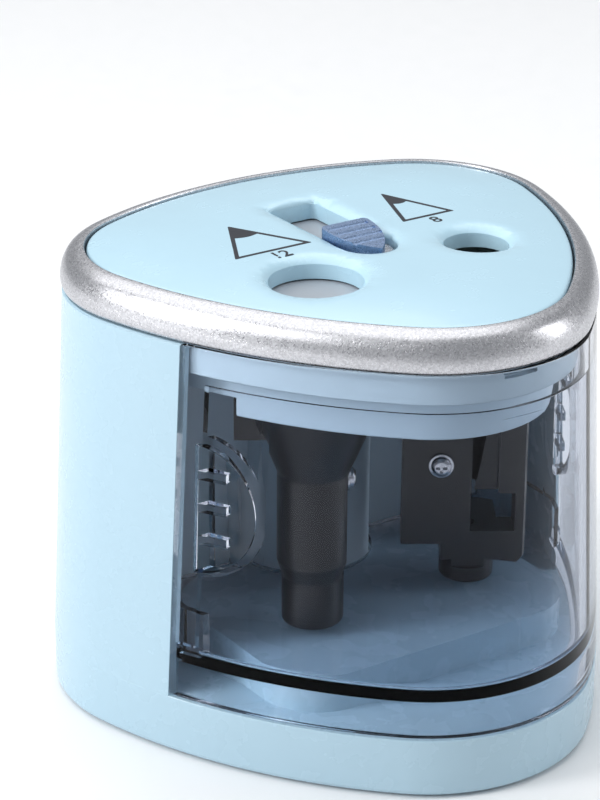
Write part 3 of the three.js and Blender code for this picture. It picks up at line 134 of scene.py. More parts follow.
def plan_outline(step):
    """Points of the panel outline, counter-clockwise, each with its outward normal."""
    back_x = PANEL_WIDTH / 2 - BACK_CORNER_R
    drop = math.sqrt((BACK_ARC_R - BACK_CORNER_R) ** 2 - back_x**2)
    back_y = PANEL_DEPTH / 2 - BACK_ARC_R + drop
    front_y = FRONT_CORNER_R - PANEL_DEPTH / 2
    to_back = SIDE_ARC_R - BACK_CORNER_R
    to_front = SIDE_ARC_R - FRONT_CORNER_R
    reach = math.hypot(back_x, back_y - front_y)
    along = (to_back**2 - to_front**2 + reach**2) / (2 * reach)
    across = math.sqrt(to_back**2 - along**2)
    ux = -back_x / reach
    uy = (front_y - back_y) / reach
    side_x = back_x + ux * along + uy * across
    side_y = back_y + uy * along - ux * across
    back_angle = math.atan2(drop, back_x)
    corner_angle = math.atan2(back_y - side_y, back_x - side_x)
    front_angle = math.atan2(front_y - side_y, -side_x)
    arcs = [
        (0, front_y, FRONT_CORNER_R, -math.pi / 2, front_angle),
        (side_x, side_y, SIDE_ARC_R, front_angle, corner_angle),
        (back_x, back_y, BACK_CORNER_R, corner_angle, back_angle),
        (0, back_y - drop, BACK_ARC_R, back_angle, math.pi / 2),
    ]
    right = []
    for x, y, r, start, end in arcs:
        steps = math.ceil((end - start) * max(1, math.sqrt(r / FRONT_CORNER_R)) / step)
        for i in range(steps):
            a = start + (end - start) * i / steps
            right.append((x + r * math.cos(a), y + r * math.sin(a), math.cos(a), math.sin(a)))
    left = [(-x, y, -nx, ny) for x, y, nx, ny in reversed(right[1:])]
    return right + [(0, PANEL_DEPTH / 2, 0, 1)] + left


OUTLINE = plan_outline(FINE)


def rounded(points, closed=True, steps=4):
    """Points given as (a, b) or (a, b, radius), with each radius turned into an arc."""
    out = []
    count = len(points)
    for i, point in enumerate(points):
        r = point[2] if len(point) > 2 else 0
        at_end = not closed and i in (0, count - 1)
        here = Vector(point[:2])
        if not r or at_end:
            out.append(tuple(here))
            continue
        before = Vector(points[i - 1][:2]) - here
        after = Vector(points[(i + 1) % count][:2]) - here
        half = before.angle(after) / 2
        cut = r / math.tan(half)
        middle = (before.normalized() + after.normalized()).normalized()
        centre = here + middle * (r / math.sin(half))
        start = here + before.normalized() * cut - centre
        end = here + after.normalized() * cut - centre
        sweep_angle = start.angle_signed(end)
        for k in range(steps + 1):
            turn = Matrix.Rotation(-sweep_angle * k / steps, 2)
            out.append(tuple(centre + turn @ start))
    return out


def smooth(points, steps=4):
    """An open Catmull-Rom curve through the points."""
    out = []
    for i in range(len(points) - 1):
        p0 = Vector(points[max(i - 1, 0)])
        p1 = Vector(points[i])
        p2 = Vector(points[i + 1])
        p3 = Vector(points[min(i + 2, len(points) - 1)])
        for k in range(steps):
            t = k / steps
            out.append(tuple(0.5 * (2 * p1 + (p2 - p0) * t + (2 * p0 - 5 * p1 + 4 * p2 - p3) * t * t
                                    + (3 * p1 - p0 - 3 * p2 + p3) * t**3)))
    return out + [tuple(points[-1])]


def circle(x, y, r, count=ROUND):
    return [(x + r * math.cos(2 * math.pi * i / count), y + r * math.sin(2 * math.pi * i / count))
            for i in range(count)]


def rectangle(x0, x1, y0, y1, r=0.0, steps=6):
    return rounded([(x0, y0, r), (x1, y0, r), (x1, y1, r), (x0, y1, r)], steps=steps)


def round_ended(half, front, back, r):
    """An outline with a half-round front and small back corners."""
    nose = [(half * math.cos(a), front + half + half * math.sin(a))
            for a in [math.pi + math.pi * k / 24 for k in range(25)]]
    back_edge = rounded([(half, front + half), (half, back, r), (-half, back, r), (-half, front + half)],
                        closed=False)
    return nose + back_edge[1:-1]


# ------------------------------------------------------------------ solids


class Solid:
    """A closed mesh in mm. -, + and & cut, join and intersect it with another."""

    def __init__(self, points, faces):
        mesh = bpy.data.meshes.new("solid")
        mesh.from_pydata([tuple(p) for p in points], [], faces)
        self.mesh = mesh
        self.face_outwards()

    def face_outwards(self):
        bm = bmesh.new()
        bm.from_mesh(self.mesh)
        bmesh.ops.recalc_face_normals(bm, faces=bm.faces)
        bm.to_mesh(self.mesh)
        bm.free()

    def combine(self, other, operation):
        scene = bpy.context.scene
        held = bpy.data.objects.new("held", self.mesh)
        tool = bpy.data.objects.new("tool", other.mesh)
        scene.collection.objects.link(held)
        scene.collection.objects.link(tool)
        step = held.modifiers.new("step", "BOOLEAN")
        step.operation = operation
        step.solver = "MANIFOLD"
        step.object = tool
        graph = bpy.context.evaluated_depsgraph_get()
        result = Solid.__new__(Solid)
        result.mesh = bpy.data.meshes.new_from_object(held.evaluated_get(graph))
        bpy.data.objects.remove(held)
        bpy.data.objects.remove(tool)
        return result

    def __sub__(self, other):
        return self.combine(other, "DIFFERENCE")

    def __add__(self, other):
        return self.combine(other, "UNION")

    def __and__(self, other):
        return self.combine(other, "INTERSECT")

    def moved(self, matrix):
        result = Solid.__new__(Solid)
        result.mesh = self.mesh.copy()
        result.mesh.transform(matrix)
        return result


def tube_faces(columns, rows, closed_rows):
    faces = []
    for i in range(columns):
        here = i * rows
        after = ((i + 1) % columns) * rows
        for j in range(rows if closed_rows else rows - 1):
            k = (j + 1) % rows
            faces.append((here + j, after + j, after + k, here + k))
    return faces


def sweep(profile, closed, outline=None):
    """A body whose (offset, z) profile runs round the outline, as a ring or as a plate."""
    outline = outline or OUTLINE
    points = [(x + nx * o, y + ny * o, z) for x, y, nx, ny in outline for o, z in profile]
    rows = len(profile)
    columns = len(outline)
    faces = tube_faces(columns, rows, closed)
    if not closed:
        faces.append(tuple(i * rows for i in reversed(range(columns))))
        faces.append(tuple(i * rows + rows - 1 for i in range(columns)))
    return Solid(points, faces)


def ring(profile):
    return sweep(profile, True)


def plate(profile):
    return sweep(profile, False)


def prism(outline, z0, z1):
    """A flat outline pushed up from z0 to z1."""
    count = len(outline)
    points = [(x, y, z0) for x, y in outline] + [(x, y, z1) for x, y in outline]
    faces = [(i, (i + 1) % count, (i + 1) % count + count, i + count) for i in range(count)]
    faces.append(tuple(reversed(range(count))))
    faces.append(tuple(range(count, 2 * count)))
    return Solid(points, faces)


def block(x0, x1, y0, y1, z0, z1):
    return prism([(x0, y0), (x1, y0), (x1, y1), (x0, y1)], z0, z1)


def turned(profile, x=0.0, y=0.0, count=ROUND):
    """A turned solid from (radius, z) points that start and end on the axis."""
    inner = profile[1:-1]
    rows = len(inner)
    points = []
    for i in range(count):
        a = 2 * math.pi * i / count
        points += [(x + r * math.cos(a), y + r * math.sin(a), z) for r, z in inner]
    faces = tube_faces(count, rows, False)
    low = len(points)
    points += [(x, y, profile[0][1]), (x, y, profile[-1][1])]
    for i in range(count):
        after = (i + 1) % count
        faces.append((low, after * rows, i * rows))
        faces.append((low + 1, i * rows + rows - 1, after * rows + rows - 1))
    return Solid(points, faces)


def post(x, y, r, z0, z1, count=ROUND):
    return turned([(0, z0), (r, z0), (r, z1), (0, z1)], x, y, count)


def rod(origin, out, r, start, end, count=ROUND):
    """A cylinder along a horizontal direction."""
    turn = Vector((0, 0, 1)).rotation_difference(out).to_matrix().to_4x4()
    return post(0, 0, r, start, end, count).moved(Matrix.Translation(origin) @ turn)


def ahead(y):
    return block(-FAR, FAR, -FAR, y, -FAR, FAR)


def behind(y):
    return block(-FAR, FAR, y, FAR, -FAR, FAR)


# ------------------------------------------------------------------ materials


def nodes_of(material):
    material.use_nodes = True
    tree = material.node_tree
    return tree, tree.nodes, tree.links, tree.nodes["Principled BSDF"]


def noise(tree, scale, detail=3.0, roughness=0.5, distortion=0.0, stretch=None):
    """A noise texture in object space, with features about 1/scale metres across."""
    place = tree.nodes.new("ShaderNodeTexCoord")
    texture = tree.nodes.new("ShaderNodeTexNoise")
    texture.inputs["Scale"].default_value = scale
    texture.inputs["Detail"].default_value = detail
    texture.inputs["Roughness"].default_value = roughness
    texture.inputs["Distortion"].default_value = distortion
    if stretch:
        mapping = tree.nodes.new("ShaderNodeMapping")
        mapping.inputs["Scale"].default_value = stretch
        tree.links.new(place.outputs["Object"], mapping.inputs["Vector"])
        tree.links.new(mapping.outputs["Vector"], texture.inputs["Vector"])
    else:
        tree.links.new(place.outputs["Object"], texture.inputs["Vector"])
    return texture.outputs["Fac"]


def spread(tree, value, low, high, from_low=0.3, from_high=0.7):
    node = tree.nodes.new("ShaderNodeMapRange")
    node.inputs["From Min"].default_value = from_low
    node.inputs["From Max"].default_value = from_high
    node.inputs["To Min"].default_value = low
    node.inputs["To Max"].default_value = high
    tree.links.new(value, node.inputs["Value"])
    return node.outputs["Result"]


def blend_colours(tree, value, first, second):
    node = tree.nodes.new("ShaderNodeMix")
    node.data_type = "RGBA"
    node.inputs["A"].default_value = (*first, 1)
    node.inputs["B"].default_value = (*second, 1)
    tree.links.new(value, node.inputs["Factor"])
    return node.outputs["Result"]


def bump(tree, height, strength, distance, below=None):
    node = tree.nodes.new("ShaderNodeBump")
    node.inputs["Strength"].default_value = strength
    node.inputs["Distance"].default_value = distance
    tree.links.new(height, node.inputs["Height"])
    if below:
        tree.links.new(below, node.inputs["Normal"])
    return node.outputs["Normal"]


def moulded(name, colour, roughness, grain=0.04, vary=0.012, coat=0.0, scale=900.0):
    """Moulded plastic: slow colour drift, uneven gloss and a fine moulding texture."""
    material = bpy.data.materials.new(name)
    tree, _, links, shader = nodes_of(material)
    drift = noise(tree, 35.0, 2.0)
    darker = tuple(c * (1 - vary) for c in colour)
    lighter = tuple(min(1.0, c * (1 + vary)) for c in colour)
    links.new(blend_colours(tree, drift, darker, lighter), shader.inputs["Base Color"])
    cloud = noise(tree, 160.0, 4.0)
    links.new(spread(tree, cloud, roughness * 0.85, roughness * 1.2), shader.inputs["Roughness"])
    waves = bump(tree, noise(tree, 60.0, 2.0), 0.015, 0.0006)
    fine = bump(tree, noise(tree, scale, 3.0), grain, 0.0002, waves)
    links.new(fine, shader.inputs["Normal"])
    shader.inputs["Coat Weight"].default_value = coat
    shader.inputs["Coat Roughness"].default_value = 0.08
    return material


def brushed(name, colour, roughness, stretch=(1, 1, 12), scale=700.0, strength=0.12):
    """Worked metal with fine directional lines."""
    material = bpy.data.materials.new(name)
    tree, _, links, shader = nodes_of(material)
    lines = noise(tree, scale, 4.0, stretch=stretch)
    dark = tuple(c * 0.82 for c in colour)
    links.new(blend_colours(tree, lines, dark, colour), shader.inputs["Base Color"])
    links.new(spread(tree, lines, roughness * 0.7, roughness * 1.3), shader.inputs["Roughness"])
    links.new(bump(tree, lines, strength, 0.0001), shader.inputs["Normal"])
    shader.inputs["Metallic"].default_value = 1.0
    return material


def sparkle_paint(name, colour, flake, roughness, strength):
    """Satin metallic paint: each flake has its own tone and its own tilt."""
    material = bpy.data.materials.new(name)
    tree, nodes, links, shader = nodes_of(material)
    place = nodes.new("ShaderNodeTexCoord")
    flakes = nodes.new("ShaderNodeTexVoronoi")
    flakes.inputs["Scale"].default_value = 1 / flake
    flakes.inputs["Randomness"].default_value = 1.0
    links.new(place.outputs["Object"], flakes.inputs["Vector"])
    split = nodes.new("ShaderNodeSeparateColor")
    links.new(flakes.outputs["Color"], split.inputs["Color"])
    dark = tuple(c * 0.84 for c in colour)
    bright = tuple(min(1.0, c * 1.14) for c in colour)
    links.new(blend_colours(tree, split.outputs["Red"], dark, bright), shader.inputs["Base Color"])
    links.new(spread(tree, split.outputs["Green"], roughness * 0.75, roughness * 1.25, 0, 1),
              shader.inputs["Roughness"])
    tilt = bump(tree, split.outputs["Blue"], strength, flake * 0.35)
    cloud = bump(tree, noise(tree, 1500.0, 2.0), 0.08, 0.0002, tilt)
    links.new(cloud, shader.inputs["Normal"])
    shader.inputs["Metallic"].default_value = 1.0
    return material


def smoky(name):
    """Clear smoky plastic with real thickness: it bends light and darkens along the way."""
    material = bpy.data.materials.new(name)
    tree, nodes, links, shader = nodes_of(material)
    shader.inputs["Base Color"].default_value = (0.97, 0.98, 1.0, 1)
    shader.inputs["Transmission Weight"].default_value = 1.0
    shader.inputs["IOR"].default_value = 1.34
    shader.inputs["Specular Tint"].default_value = (0.22, 0.22, 0.24, 1)
    handled = noise(tree, 220.0, 4.0, 0.6)
    links.new(spread(tree, handled, 0.008, 0.035), shader.inputs["Roughness"])
    links.new(bump(tree, noise(tree, 45.0, 1.0), 0.03, 0.0006), shader.inputs["Normal"])
    straight = nodes.new("ShaderNodeBsdfTransparent")
    straight.inputs["Color"].default_value = (0.95, 0.955, 0.96, 1)
    path = nodes.new("ShaderNodeLightPath")
    pick = nodes.new("ShaderNodeMixShader")
    links.new(path.outputs["Is Shadow Ray"], pick.inputs["Fac"])
    links.new(shader.outputs["BSDF"], pick.inputs[1])
    links.new(straight.outputs["BSDF"], pick.inputs[2])
    inside = nodes.new("ShaderNodeVolumeAbsorption")
    inside.inputs["Color"].default_value = (0.18, 0.28, 0.46, 1)
    inside.inputs["Density"].default_value = 90.0
    out = nodes["Material Output"]
    links.new(pick.outputs["Shader"], out.inputs["Surface"])
    links.new(inside.outputs["Volume"], out.inputs["Volume"])
    return material


def cell_wrap(name):
    """A battery's printed sleeve: dark blue with a light band towards one end."""
    material = bpy.data.materials.new(name)
    tree, nodes, links, shader = nodes_of(material)
    place = nodes.new("ShaderNodeTexCoord")
    axes = nodes.new("ShaderNodeSeparateXYZ")
    links.new(place.outputs["Object"], axes.inputs["Vector"])
    band = spread(tree, axes.outputs["Z"], 0, 1, 0.0508, 0.0512)
    links.new(blend_colours(tree, band, (0.02, 0.07, 0.2), (0.55, 0.56, 0.6)), shader.inputs["Base Color"])
    cloud = noise(tree, 300.0)
    links.new(spread(tree, cloud, 0.18, 0.32), shader.inputs["Roughness"])
    links.new(bump(tree, noise(tree, 90.0, 2.0), 0.1, 0.0003), shader.inputs["Normal"])
    return material


BLUE = moulded("blue_plastic", (0.40, 0.565, 0.665), 0.26, coat=0.2)
INNER_BLUE = moulded("inner_blue_plastic", (0.44, 0.56, 0.65), 0.38)
PANEL = moulded("panel_plastic", (0.47, 0.685, 0.80), 0.24, coat=0.2)
BEZEL = sparkle_paint("silver_paint", (0.56, 0.56, 0.585), 0.00026, 0.32, 0.35)
KNOB = sparkle_paint("satin_blue_paint", (0.24, 0.33, 0.50), 0.00022, 0.34, 0.2)
KNOB_SIDE = sparkle_paint("satin_silver_paint", (0.58, 0.60, 0.64), 0.00024, 0.3, 0.25)
SHUTTER = moulded("shutter_grey_plastic", (0.36, 0.39, 0.43), 0.34, scale=1400.0)
SMOKY = smoky("smoky_clear_plastic")
BLACK = moulded("black_plastic", (0.006, 0.006, 0.007), 0.33, grain=0.1, vary=0.2)
BLADE = brushed("ground_blade_steel", (0.66, 0.67, 0.70), 0.22)
STEEL = brushed("plated_steel", (0.50, 0.51, 0.54), 0.2, stretch=(1, 1, 1), strength=0.06)
WHITE = moulded("natural_nylon", (0.78, 0.77, 0.71), 0.42)
BRASS = brushed("stamped_brass", (0.78, 0.57, 0.24), 0.28)
WRAP = cell_wrap("battery_sleeve")
RUBBER = moulded("foot_rubber", (0.02, 0.02, 0.021), 0.75, grain=0.25)
INK = moulded("printed_ink", (0.008, 0.01, 0.018), 0.4, grain=0.02)


# ------------------------------------------------------------------ pieces


def piece(name, solid, body, material, replaced=(), sharp=32.0, bevel=0.0):
    """Turns a solid into a piece of the object that rides on a body and stands for CAD nodes."""
    mesh = solid.mesh
    mesh.name = name
    mesh.transform(Matrix.Scale(MM, 4))
    bm = bmesh.new()
    bm.from_mesh(mesh)
    bmesh.ops.remove_doubles(bm, verts=bm.verts, dist=2e-6)
    bmesh.ops.dissolve_degenerate(bm, edges=bm.edges, dist=2e-6)
    bm.to_mesh(mesh)
    bm.free()
    made = bpy.data.objects.new(name, mesh)
    bpy.context.scene.collection.objects.link(made)
    mesh.materials.clear()
    mesh.materials.append(material)
    mesh.shade_smooth()
    mesh.set_sharp_from_angle(angle=math.radians(sharp))
    if bevel:
        edge = made.modifiers.new("edge", "BEVEL")
        edge.width = bevel * MM
        edge.segments = 2
        edge.limit_method = "ANGLE"
        edge.angle_limit = math.radians(sharp)
        edge.use_clamp_overlap = True
        edge.miter_outer = "MITER_ARC"
    evened = made.modifiers.new("evened", "WEIGHTED_NORMAL")
    evened.keep_sharp = True
    evened.weight = 90
    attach(made, body)
    if replaced:
        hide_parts(*replaced)
    return made


# ---- panel with dished pencil holes, the selector's slot and printed marks

PANEL_UNDER = PANEL_LOW.z
PANEL_TOP = PANEL_HIGH.z
EDGE_DROP = 1.3
DOME_WIDTH = 20.0
EDGE_ROUND = 0.5
DISH_WIDTH = 2.6
DISH_DEPTH = 1.25
SLOT_HALF = 5.1
KNOB_ROOM = 0.5
SELECTOR_TRAVEL = 15.9
SLOT_FRONT = KNOB_LOW.y - KNOB_ROOM
SLOT_DISH = 0.7
SLOT_BACK = KNOB_HIGH.y + SELECTOR_TRAVEL + KNOB_ROOM
SLOT_BACK_R = 1.1
SLOT_ROUND = 0.35
DISH_CURVE = 2.4
PANEL_MESH = 1.5
EDGE_ROWS = [0.06, 0.18, 0.35, 0.7, 1.3]

RIM = np.array([(x, y) for x, y, _, _ in OUTLINE])


def edge_distance(xy):
    """How far inside the panel outline each point is."""
    start = RIM
    step = np.roll(RIM, -1, axis=0) - RIM
    to = xy[:, None, :] - start[None]
    t = np.clip((to * step).sum(2) / (step * step).sum(1), 0, 1)
    gap = to - t[..., None] * step[None]
    return np.sqrt((gap * gap).sum(2).min(1))


def dome(xy):
    """Height of the panel's gently domed top, without its holes."""
    inside = np.minimum(edge_distance(xy), DOME_WIDTH) / DOME_WIDTH
    return PANEL_TOP - EDGE_DROP + EDGE_DROP * (1 - (1 - inside) ** 2)


def slot_distance(xy):
    nose = SLOT_FRONT + SLOT_HALF
    dx = np.maximum(np.abs(xy[:, 0]) - SLOT_HALF, 0)
    straight = np.hypot(dx, np.maximum(xy[:, 1] - SLOT_BACK, 0))
    at_nose = np.maximum(np.hypot(xy[:, 0], xy[:, 1] - nose) - SLOT_HALF, 0)
    return np.where(xy[:, 1] < nose, at_nose, straight)


def panel_top(xy):
    z = dome(xy)
    near_edge = np.clip(1 - edge_distance(xy) / EDGE_ROUND, 0, 1)
    z -= EDGE_ROUND * (1 - np.sqrt(1 - near_edge**2))
    for x, r in ((-HOLE_X, LARGE_HOLE_R), (HOLE_X, SMALL_HOLE_R)):
        t = np.clip((np.hypot(xy[:, 0] - x, xy[:, 1] - HOLE_Y) - r) / DISH_WIDTH, 0, 1)
        z -= DISH_DEPTH * (1 - t) ** DISH_CURVE
    t = np.clip(slot_distance(xy) / DISH_WIDTH, 0, 1)
    z -= SLOT_DISH * (1 - t) ** DISH_CURVE
    near_slot = np.clip(1 - slot_distance(xy) / SLOT_ROUND, 0, 1)
    z -= SLOT_ROUND * (1 - np.sqrt(1 - near_slot**2))
    return z


def inside_loop(xy, loop):
    x, y = xy[:, 0:1], xy[:, 1:2]
    a = np.array(loop)
    b = np.roll(a, -1, axis=0)
    crosses = (a[:, 1] > y) != (b[:, 1] > y)
    with np.errstate(divide="ignore", invalid="ignore"):
        at = a[:, 0] + (y - a[:, 1]) * (b[:, 0] - a[:, 0]) / (b[:, 1] - a[:, 1])
    return (crosses & (x < at)).sum(1) % 2 == 1


def loop_normal(loop):
    p = np.array(loop)
    t = np.roll(p, -1, axis=0) - np.roll(p, 1, axis=0)
    n = np.stack([t[:, 1], -t[:, 0]], 1)
    return n / np.linalg.norm(n, axis=1)[:, None]


def sheet_solid(outer, holes, spacing, rows, top, bottom):
    """A closed body over a region with holes. Its top and bottom follow height functions."""
    loops = [outer] + holes
    fixed = [p for loop in loops for p in loop]
    edges = []
    first = 0
    for loop in loops:
        count = len(loop)
        edges += [(first + i, first + (i + 1) % count) for i in range(count)]
        first += count
    extra = []
    for loop, side in [(outer, -1)] + [(hole, 1) for hole in holes]:
        p, n = np.array(loop), loop_normal(loop)
        for distance in rows:
            extra.append(p + side * distance * n)
    low = np.array(outer).min(0)
    high = np.array(outer).max(0)
    xs = np.arange(low[0], high[0], spacing)
    ys = np.arange(low[1], high[1], spacing * math.sqrt(3) / 2)
    grid = np.array([(x + (j % 2) * spacing / 2, y) for j, y in enumerate(ys) for x in xs])
    clear = (rows[-1] if rows else 0) + spacing * 0.5
    keep = inside_loop(grid, outer)
    for loop in loops:
        p = np.array(loop)
        keep[keep] &= (np.linalg.norm(grid[keep][:, None] - p[None], axis=2).min(1) > clear)
    for hole in holes:
        keep &= ~inside_loop(grid, hole)
    extra.append(grid[keep])
    points = fixed + [tuple(p) for part in extra for p in part]
    flat, _, faces, _, _, _ = delaunay_2d_cdt([Vector(p) for p in points], edges, [], 0, 1e-4)
    xy = np.array([tuple(p) for p in flat])
    centres = np.array([xy[list(f)].mean(0) for f in faces])
    kept = inside_loop(centres, outer)
    for hole in holes:
        kept &= ~inside_loop(centres, hole)
    faces = [f for f, k in zip(faces, kept) if k]
    count = len(xy)
    z1, z0 = top(xy), bottom(xy)
    solid_points = [(x, y, z) for (x, y), z in zip(xy, z1)] + [(x, y, z) for (x, y), z in zip(xy, z0)]
    solid_faces = [tuple(f) for f in faces] + [tuple(i + count for i in reversed(f)) for f in faces]
    uses = {}
    for f in faces:
        for a, b in zip(f, f[1:] + f[:1]):
            uses[(a, b)] = uses.get((a, b), 0) + 1
    for a, b in uses:
        if (b, a) not in uses:
            solid_faces.append((b, a, a + count, b + count))
    return Solid(solid_points, solid_faces)


def flat_at(z):
    return lambda xy: np.full(len(xy), z)


def make_panel():
    outer = [(x, y) for x, y, _, _ in OUTLINE]
    holes = [
        circle(-HOLE_X, HOLE_Y, LARGE_HOLE_R, 96),
        circle(HOLE_X, HOLE_Y, SMALL_HOLE_R, 80),
        round_ended(SLOT_HALF, SLOT_FRONT, SLOT_BACK, SLOT_BACK_R),
    ]
    solid = sheet_solid(outer, holes, PANEL_MESH, EDGE_ROWS, panel_top, flat_at(PANEL_UNDER))
    piece("panel", solid, "housing", PANEL, ["top_panel"], sharp=50)


make_panel()

INK_HEIGHT = 0.03
ICON_BASE_Y = 4.2
ICON_TIP_Y = 19.0
ICON_LINE = 0.75
ICON_CORNER_R = 0.2
ICON_LEAD = 0.40
LARGE_ICON_X = -16.4
LARGE_ICON_HALF = 7.9
SMALL_ICON_X = 16.4
SMALL_ICON_HALF = 5.6
NUMERAL_Y = 0.9
NUMERAL_HEIGHT = 2.7


def ink(name, outer, holes, spacing=1.2):
    solid = sheet_solid(outer, holes, spacing, [], lambda xy: panel_top(xy) + INK_HEIGHT,
                        lambda xy: panel_top(xy) - INK_HEIGHT)
    piece(name, solid, "housing", INK)


def pencil_mark(name, x, half):
    """An outlined pencil point with a dark lead."""
    slope = half / (ICON_TIP_Y - ICON_BASE_Y)
    lead_y = ICON_TIP_Y - ICON_LEAD * (ICON_TIP_Y - ICON_BASE_Y)
    inset = ICON_LINE * math.hypot(1, slope)

    def half_at(y):
        return slope * (ICON_TIP_Y - y) - inset

    low = ICON_BASE_Y + ICON_LINE
    curve = [(x + half_at(lead_y) * (1 - k / 5), lead_y - 0.5 * math.sin(math.pi * k / 10))
             for k in range(11)]
    window = [(x - half_at(low), low), (x + half_at(low), low)] + curve
    outer = rounded([
        (x - half, ICON_BASE_Y, ICON_CORNER_R),
        (x + half, ICON_BASE_Y, ICON_CORNER_R),
        (x, ICON_TIP_Y, ICON_CORNER_R),
    ])
    ink(name, outer, [window])


pencil_mark("printed_mark_large", LARGE_ICON_X, LARGE_ICON_HALF)
pencil_mark("printed_mark_small", SMALL_ICON_X, SMALL_ICON_HALF)


def numeral(name, text, x, y, height):
    """A plain printed number that lies on the panel."""
    curve = bpy.data.curves.new(name, "FONT")
    curve.body = text
    curve.size = height / 0.7
    curve.align_x = "CENTER"
    curve.extrude = INK_HEIGHT
    curve.offset = 0.02 * height
    curve.resolution_u = 5
    lettering = bpy.data.objects.new(name, curve)
    bpy.context.scene.collection.objects.link(lettering)
    graph = bpy.context.evaluated_depsgraph_get()
    mesh = bpy.data.meshes.new_from_object(lettering.evaluated_get(graph))
    bpy.data.objects.remove(lettering)
    for vertex in mesh.vertices:
        vertex.co.x += x
        vertex.co.y += y
        vertex.co.z += float(panel_top(np.array([vertex.co[:2]]))[0])
    solid = Solid.__new__(Solid)
    solid.mesh = mesh
    piece(name, solid, "housing", INK)


numeral("printed_size_large", "12", LARGE_ICON_X, NUMERAL_Y, NUMERAL_HEIGHT)
numeral("printed_size_small", "8", SMALL_ICON_X, NUMERAL_Y, NUMERAL_HEIGHT)

# ---- bezel

BEZEL_OUT = 4.5


def make_bezel():
    h = HEAD_Z
    inner = 0.35
    outer = smooth([
        (BEZEL_OUT - 0.55, h),
        (BEZEL_OUT + 0.02, h + 0.75),
        (BEZEL_OUT + 0.15, h + 2.2),
        (BEZEL_OUT - 0.25, h + 4.1),
        (BEZEL_OUT - 1.15, h + 5.7),
        (BEZEL_OUT - 2.5, h + 6.7),
        (BEZEL_OUT - 3.7, h + 6.98),
    ], 5)
    profile = [(inner, h)] + outer + [(inner + 0.12, h + 6.9), (inner, h + 6.7)]
    piece("bezel", ring(profile), "housing", BEZEL, ["bezel_ring"])


make_bezel()

# ---- body shell with base band and pedestal

BASE_BOTTOM = BODY_LOW.z
DECK = 1.6
PEDESTAL_HALF = 31.5
PEDESTAL_FRONT = -26.8
PEDESTAL_R = 11.0
PEDESTAL_TOP = BASE_TOP + 6.1
DOOR_HALF = DOOR_HIGH.x + GAP
DOOR_Z0 = DOOR_LOW.z - GAP
DOOR_Z1 = DOOR_HIGH.z + GAP


def pedestal(shrink, z0, z1, edge=0.0):
    half = PEDESTAL_HALF - shrink
    front = PEDESTAL_FRONT + shrink
    back = PARTITION_Y - GAP - shrink
    outline = rectangle(-half, half, front, back, PEDESTAL_R - shrink, 14)
    body = prism(outline, z0, z1)
    if edge:
        lip = prism(rectangle(-half + edge, half - edge, front + edge, back - edge, PEDESTAL_R - edge, 14),
                    z1 - 0.01, z1 + edge * 0.4)
        body = body + lip
    r = SLEEVE_R + GAP + shrink
    return body - post(0, MOTOR_Y, r, -9, z1 + 2)


def door_space(grow):
    return block(-DOOR_HALF - grow, DOOR_HALF + grow, 20, FAR, DOOR_Z0 - grow, DOOR_Z1 + grow)


def make_shell():
    inner = BASE_OFFSET - SHELL_WALL
    band = plate(rounded([
        (BASE_OFFSET - 1.4, BASE_BOTTOM),
        (BASE_OFFSET, BASE_BOTTOM, 1.2),
        (BASE_OFFSET, BASE_TOP, 0.25),
        (BASE_OFFSET - 1.0, BASE_TOP),
    ], closed=False))
    cavity = plate([(inner, -1), (inner, BASE_TOP - DECK)])
    top = HEAD_Z - GAP
    wall = ring([
        (inner, BASE_TOP - 0.7),
        (BASE_OFFSET - 0.05, BASE_TOP - 0.7),
        (BASE_OFFSET - 0.02, BASE_TOP),
        (HEAD_WALL_OFFSET + 0.02, top - 0.3),
        (HEAD_WALL_OFFSET - 0.3, top),
        (HEAD_WALL_OFFSET - SHELL_WALL, top),
        (BASE_OFFSET - SHELL_WALL, BASE_TOP),
    ]) & behind(SEAM_Y)
    body = (band - cavity) + wall
    body = body + pedestal(0, BASE_TOP - 0.5, PEDESTAL_TOP)
    body = body - pedestal(DECK, 0, PEDESTAL_TOP - DECK)
    body = body - door_space(0)
    piece("body_shell", body, "housing", BLUE, ["body_housing"], bevel=0.18)


make_shell()

# ---- battery door with pull grooves

GROOVES = 4
GROOVE_STEP = 2.2
GROOVE_DROP = 4
GROOVE_HALF = 9
GROOVE_DEPTH = 0.9


def make_door():
    wall = ring([
        (BASE_OFFSET - SHELL_WALL, BASE_TOP),
        (BASE_OFFSET, BASE_TOP),
        (HEAD_WALL_OFFSET, HEAD_Z),
        (HEAD_WALL_OFFSET - SHELL_WALL, HEAD_Z),
    ])
    body = wall & door_space(-GAP)
    outer_y = PANEL_DEPTH / 2 + wall_offset(DOOR_Z1)
    for i in range(GROOVES):
        z = DOOR_Z1 - GROOVE_DROP - i * GROOVE_STEP
        body = body - block(-GROOVE_HALF, GROOVE_HALF, outer_y - GROOVE_DEPTH, FAR, z - 0.5, z + 0.5)
    piece("rear_battery_door", body, "door", BLUE, ["battery_door"], bevel=0.2)


make_door()

# ---- head case and partition, seen through the bin

COLLAR = -2.1
COLLAR_WALL = 1.4
COLLAR_TOP = HEAD_WALL_OFFSET - SHELL_WALL - GAP
RIM_Z = HEAD_Z - 7.0
SKIRT_Z = HEAD_LOW.z
SKIRT_DROP = 3.4
HEAD_FLOOR = SKIRT_Z + SKIRT_DROP
GEARBOX = HEAD_FLOOR + 1.6
GEARBOX_STEP = GEARBOX + 3.5
HEAD_WALL = 1.9
NECK_ROOM = 0.25
SHAFT_HOLE_R = 4
NOTCH_HALF = 3.3
LARGE_NECK = LARGE_BORE_R + NECK_WALL
SMALL_NECK = SMALL_BORE_R + NECK_WALL


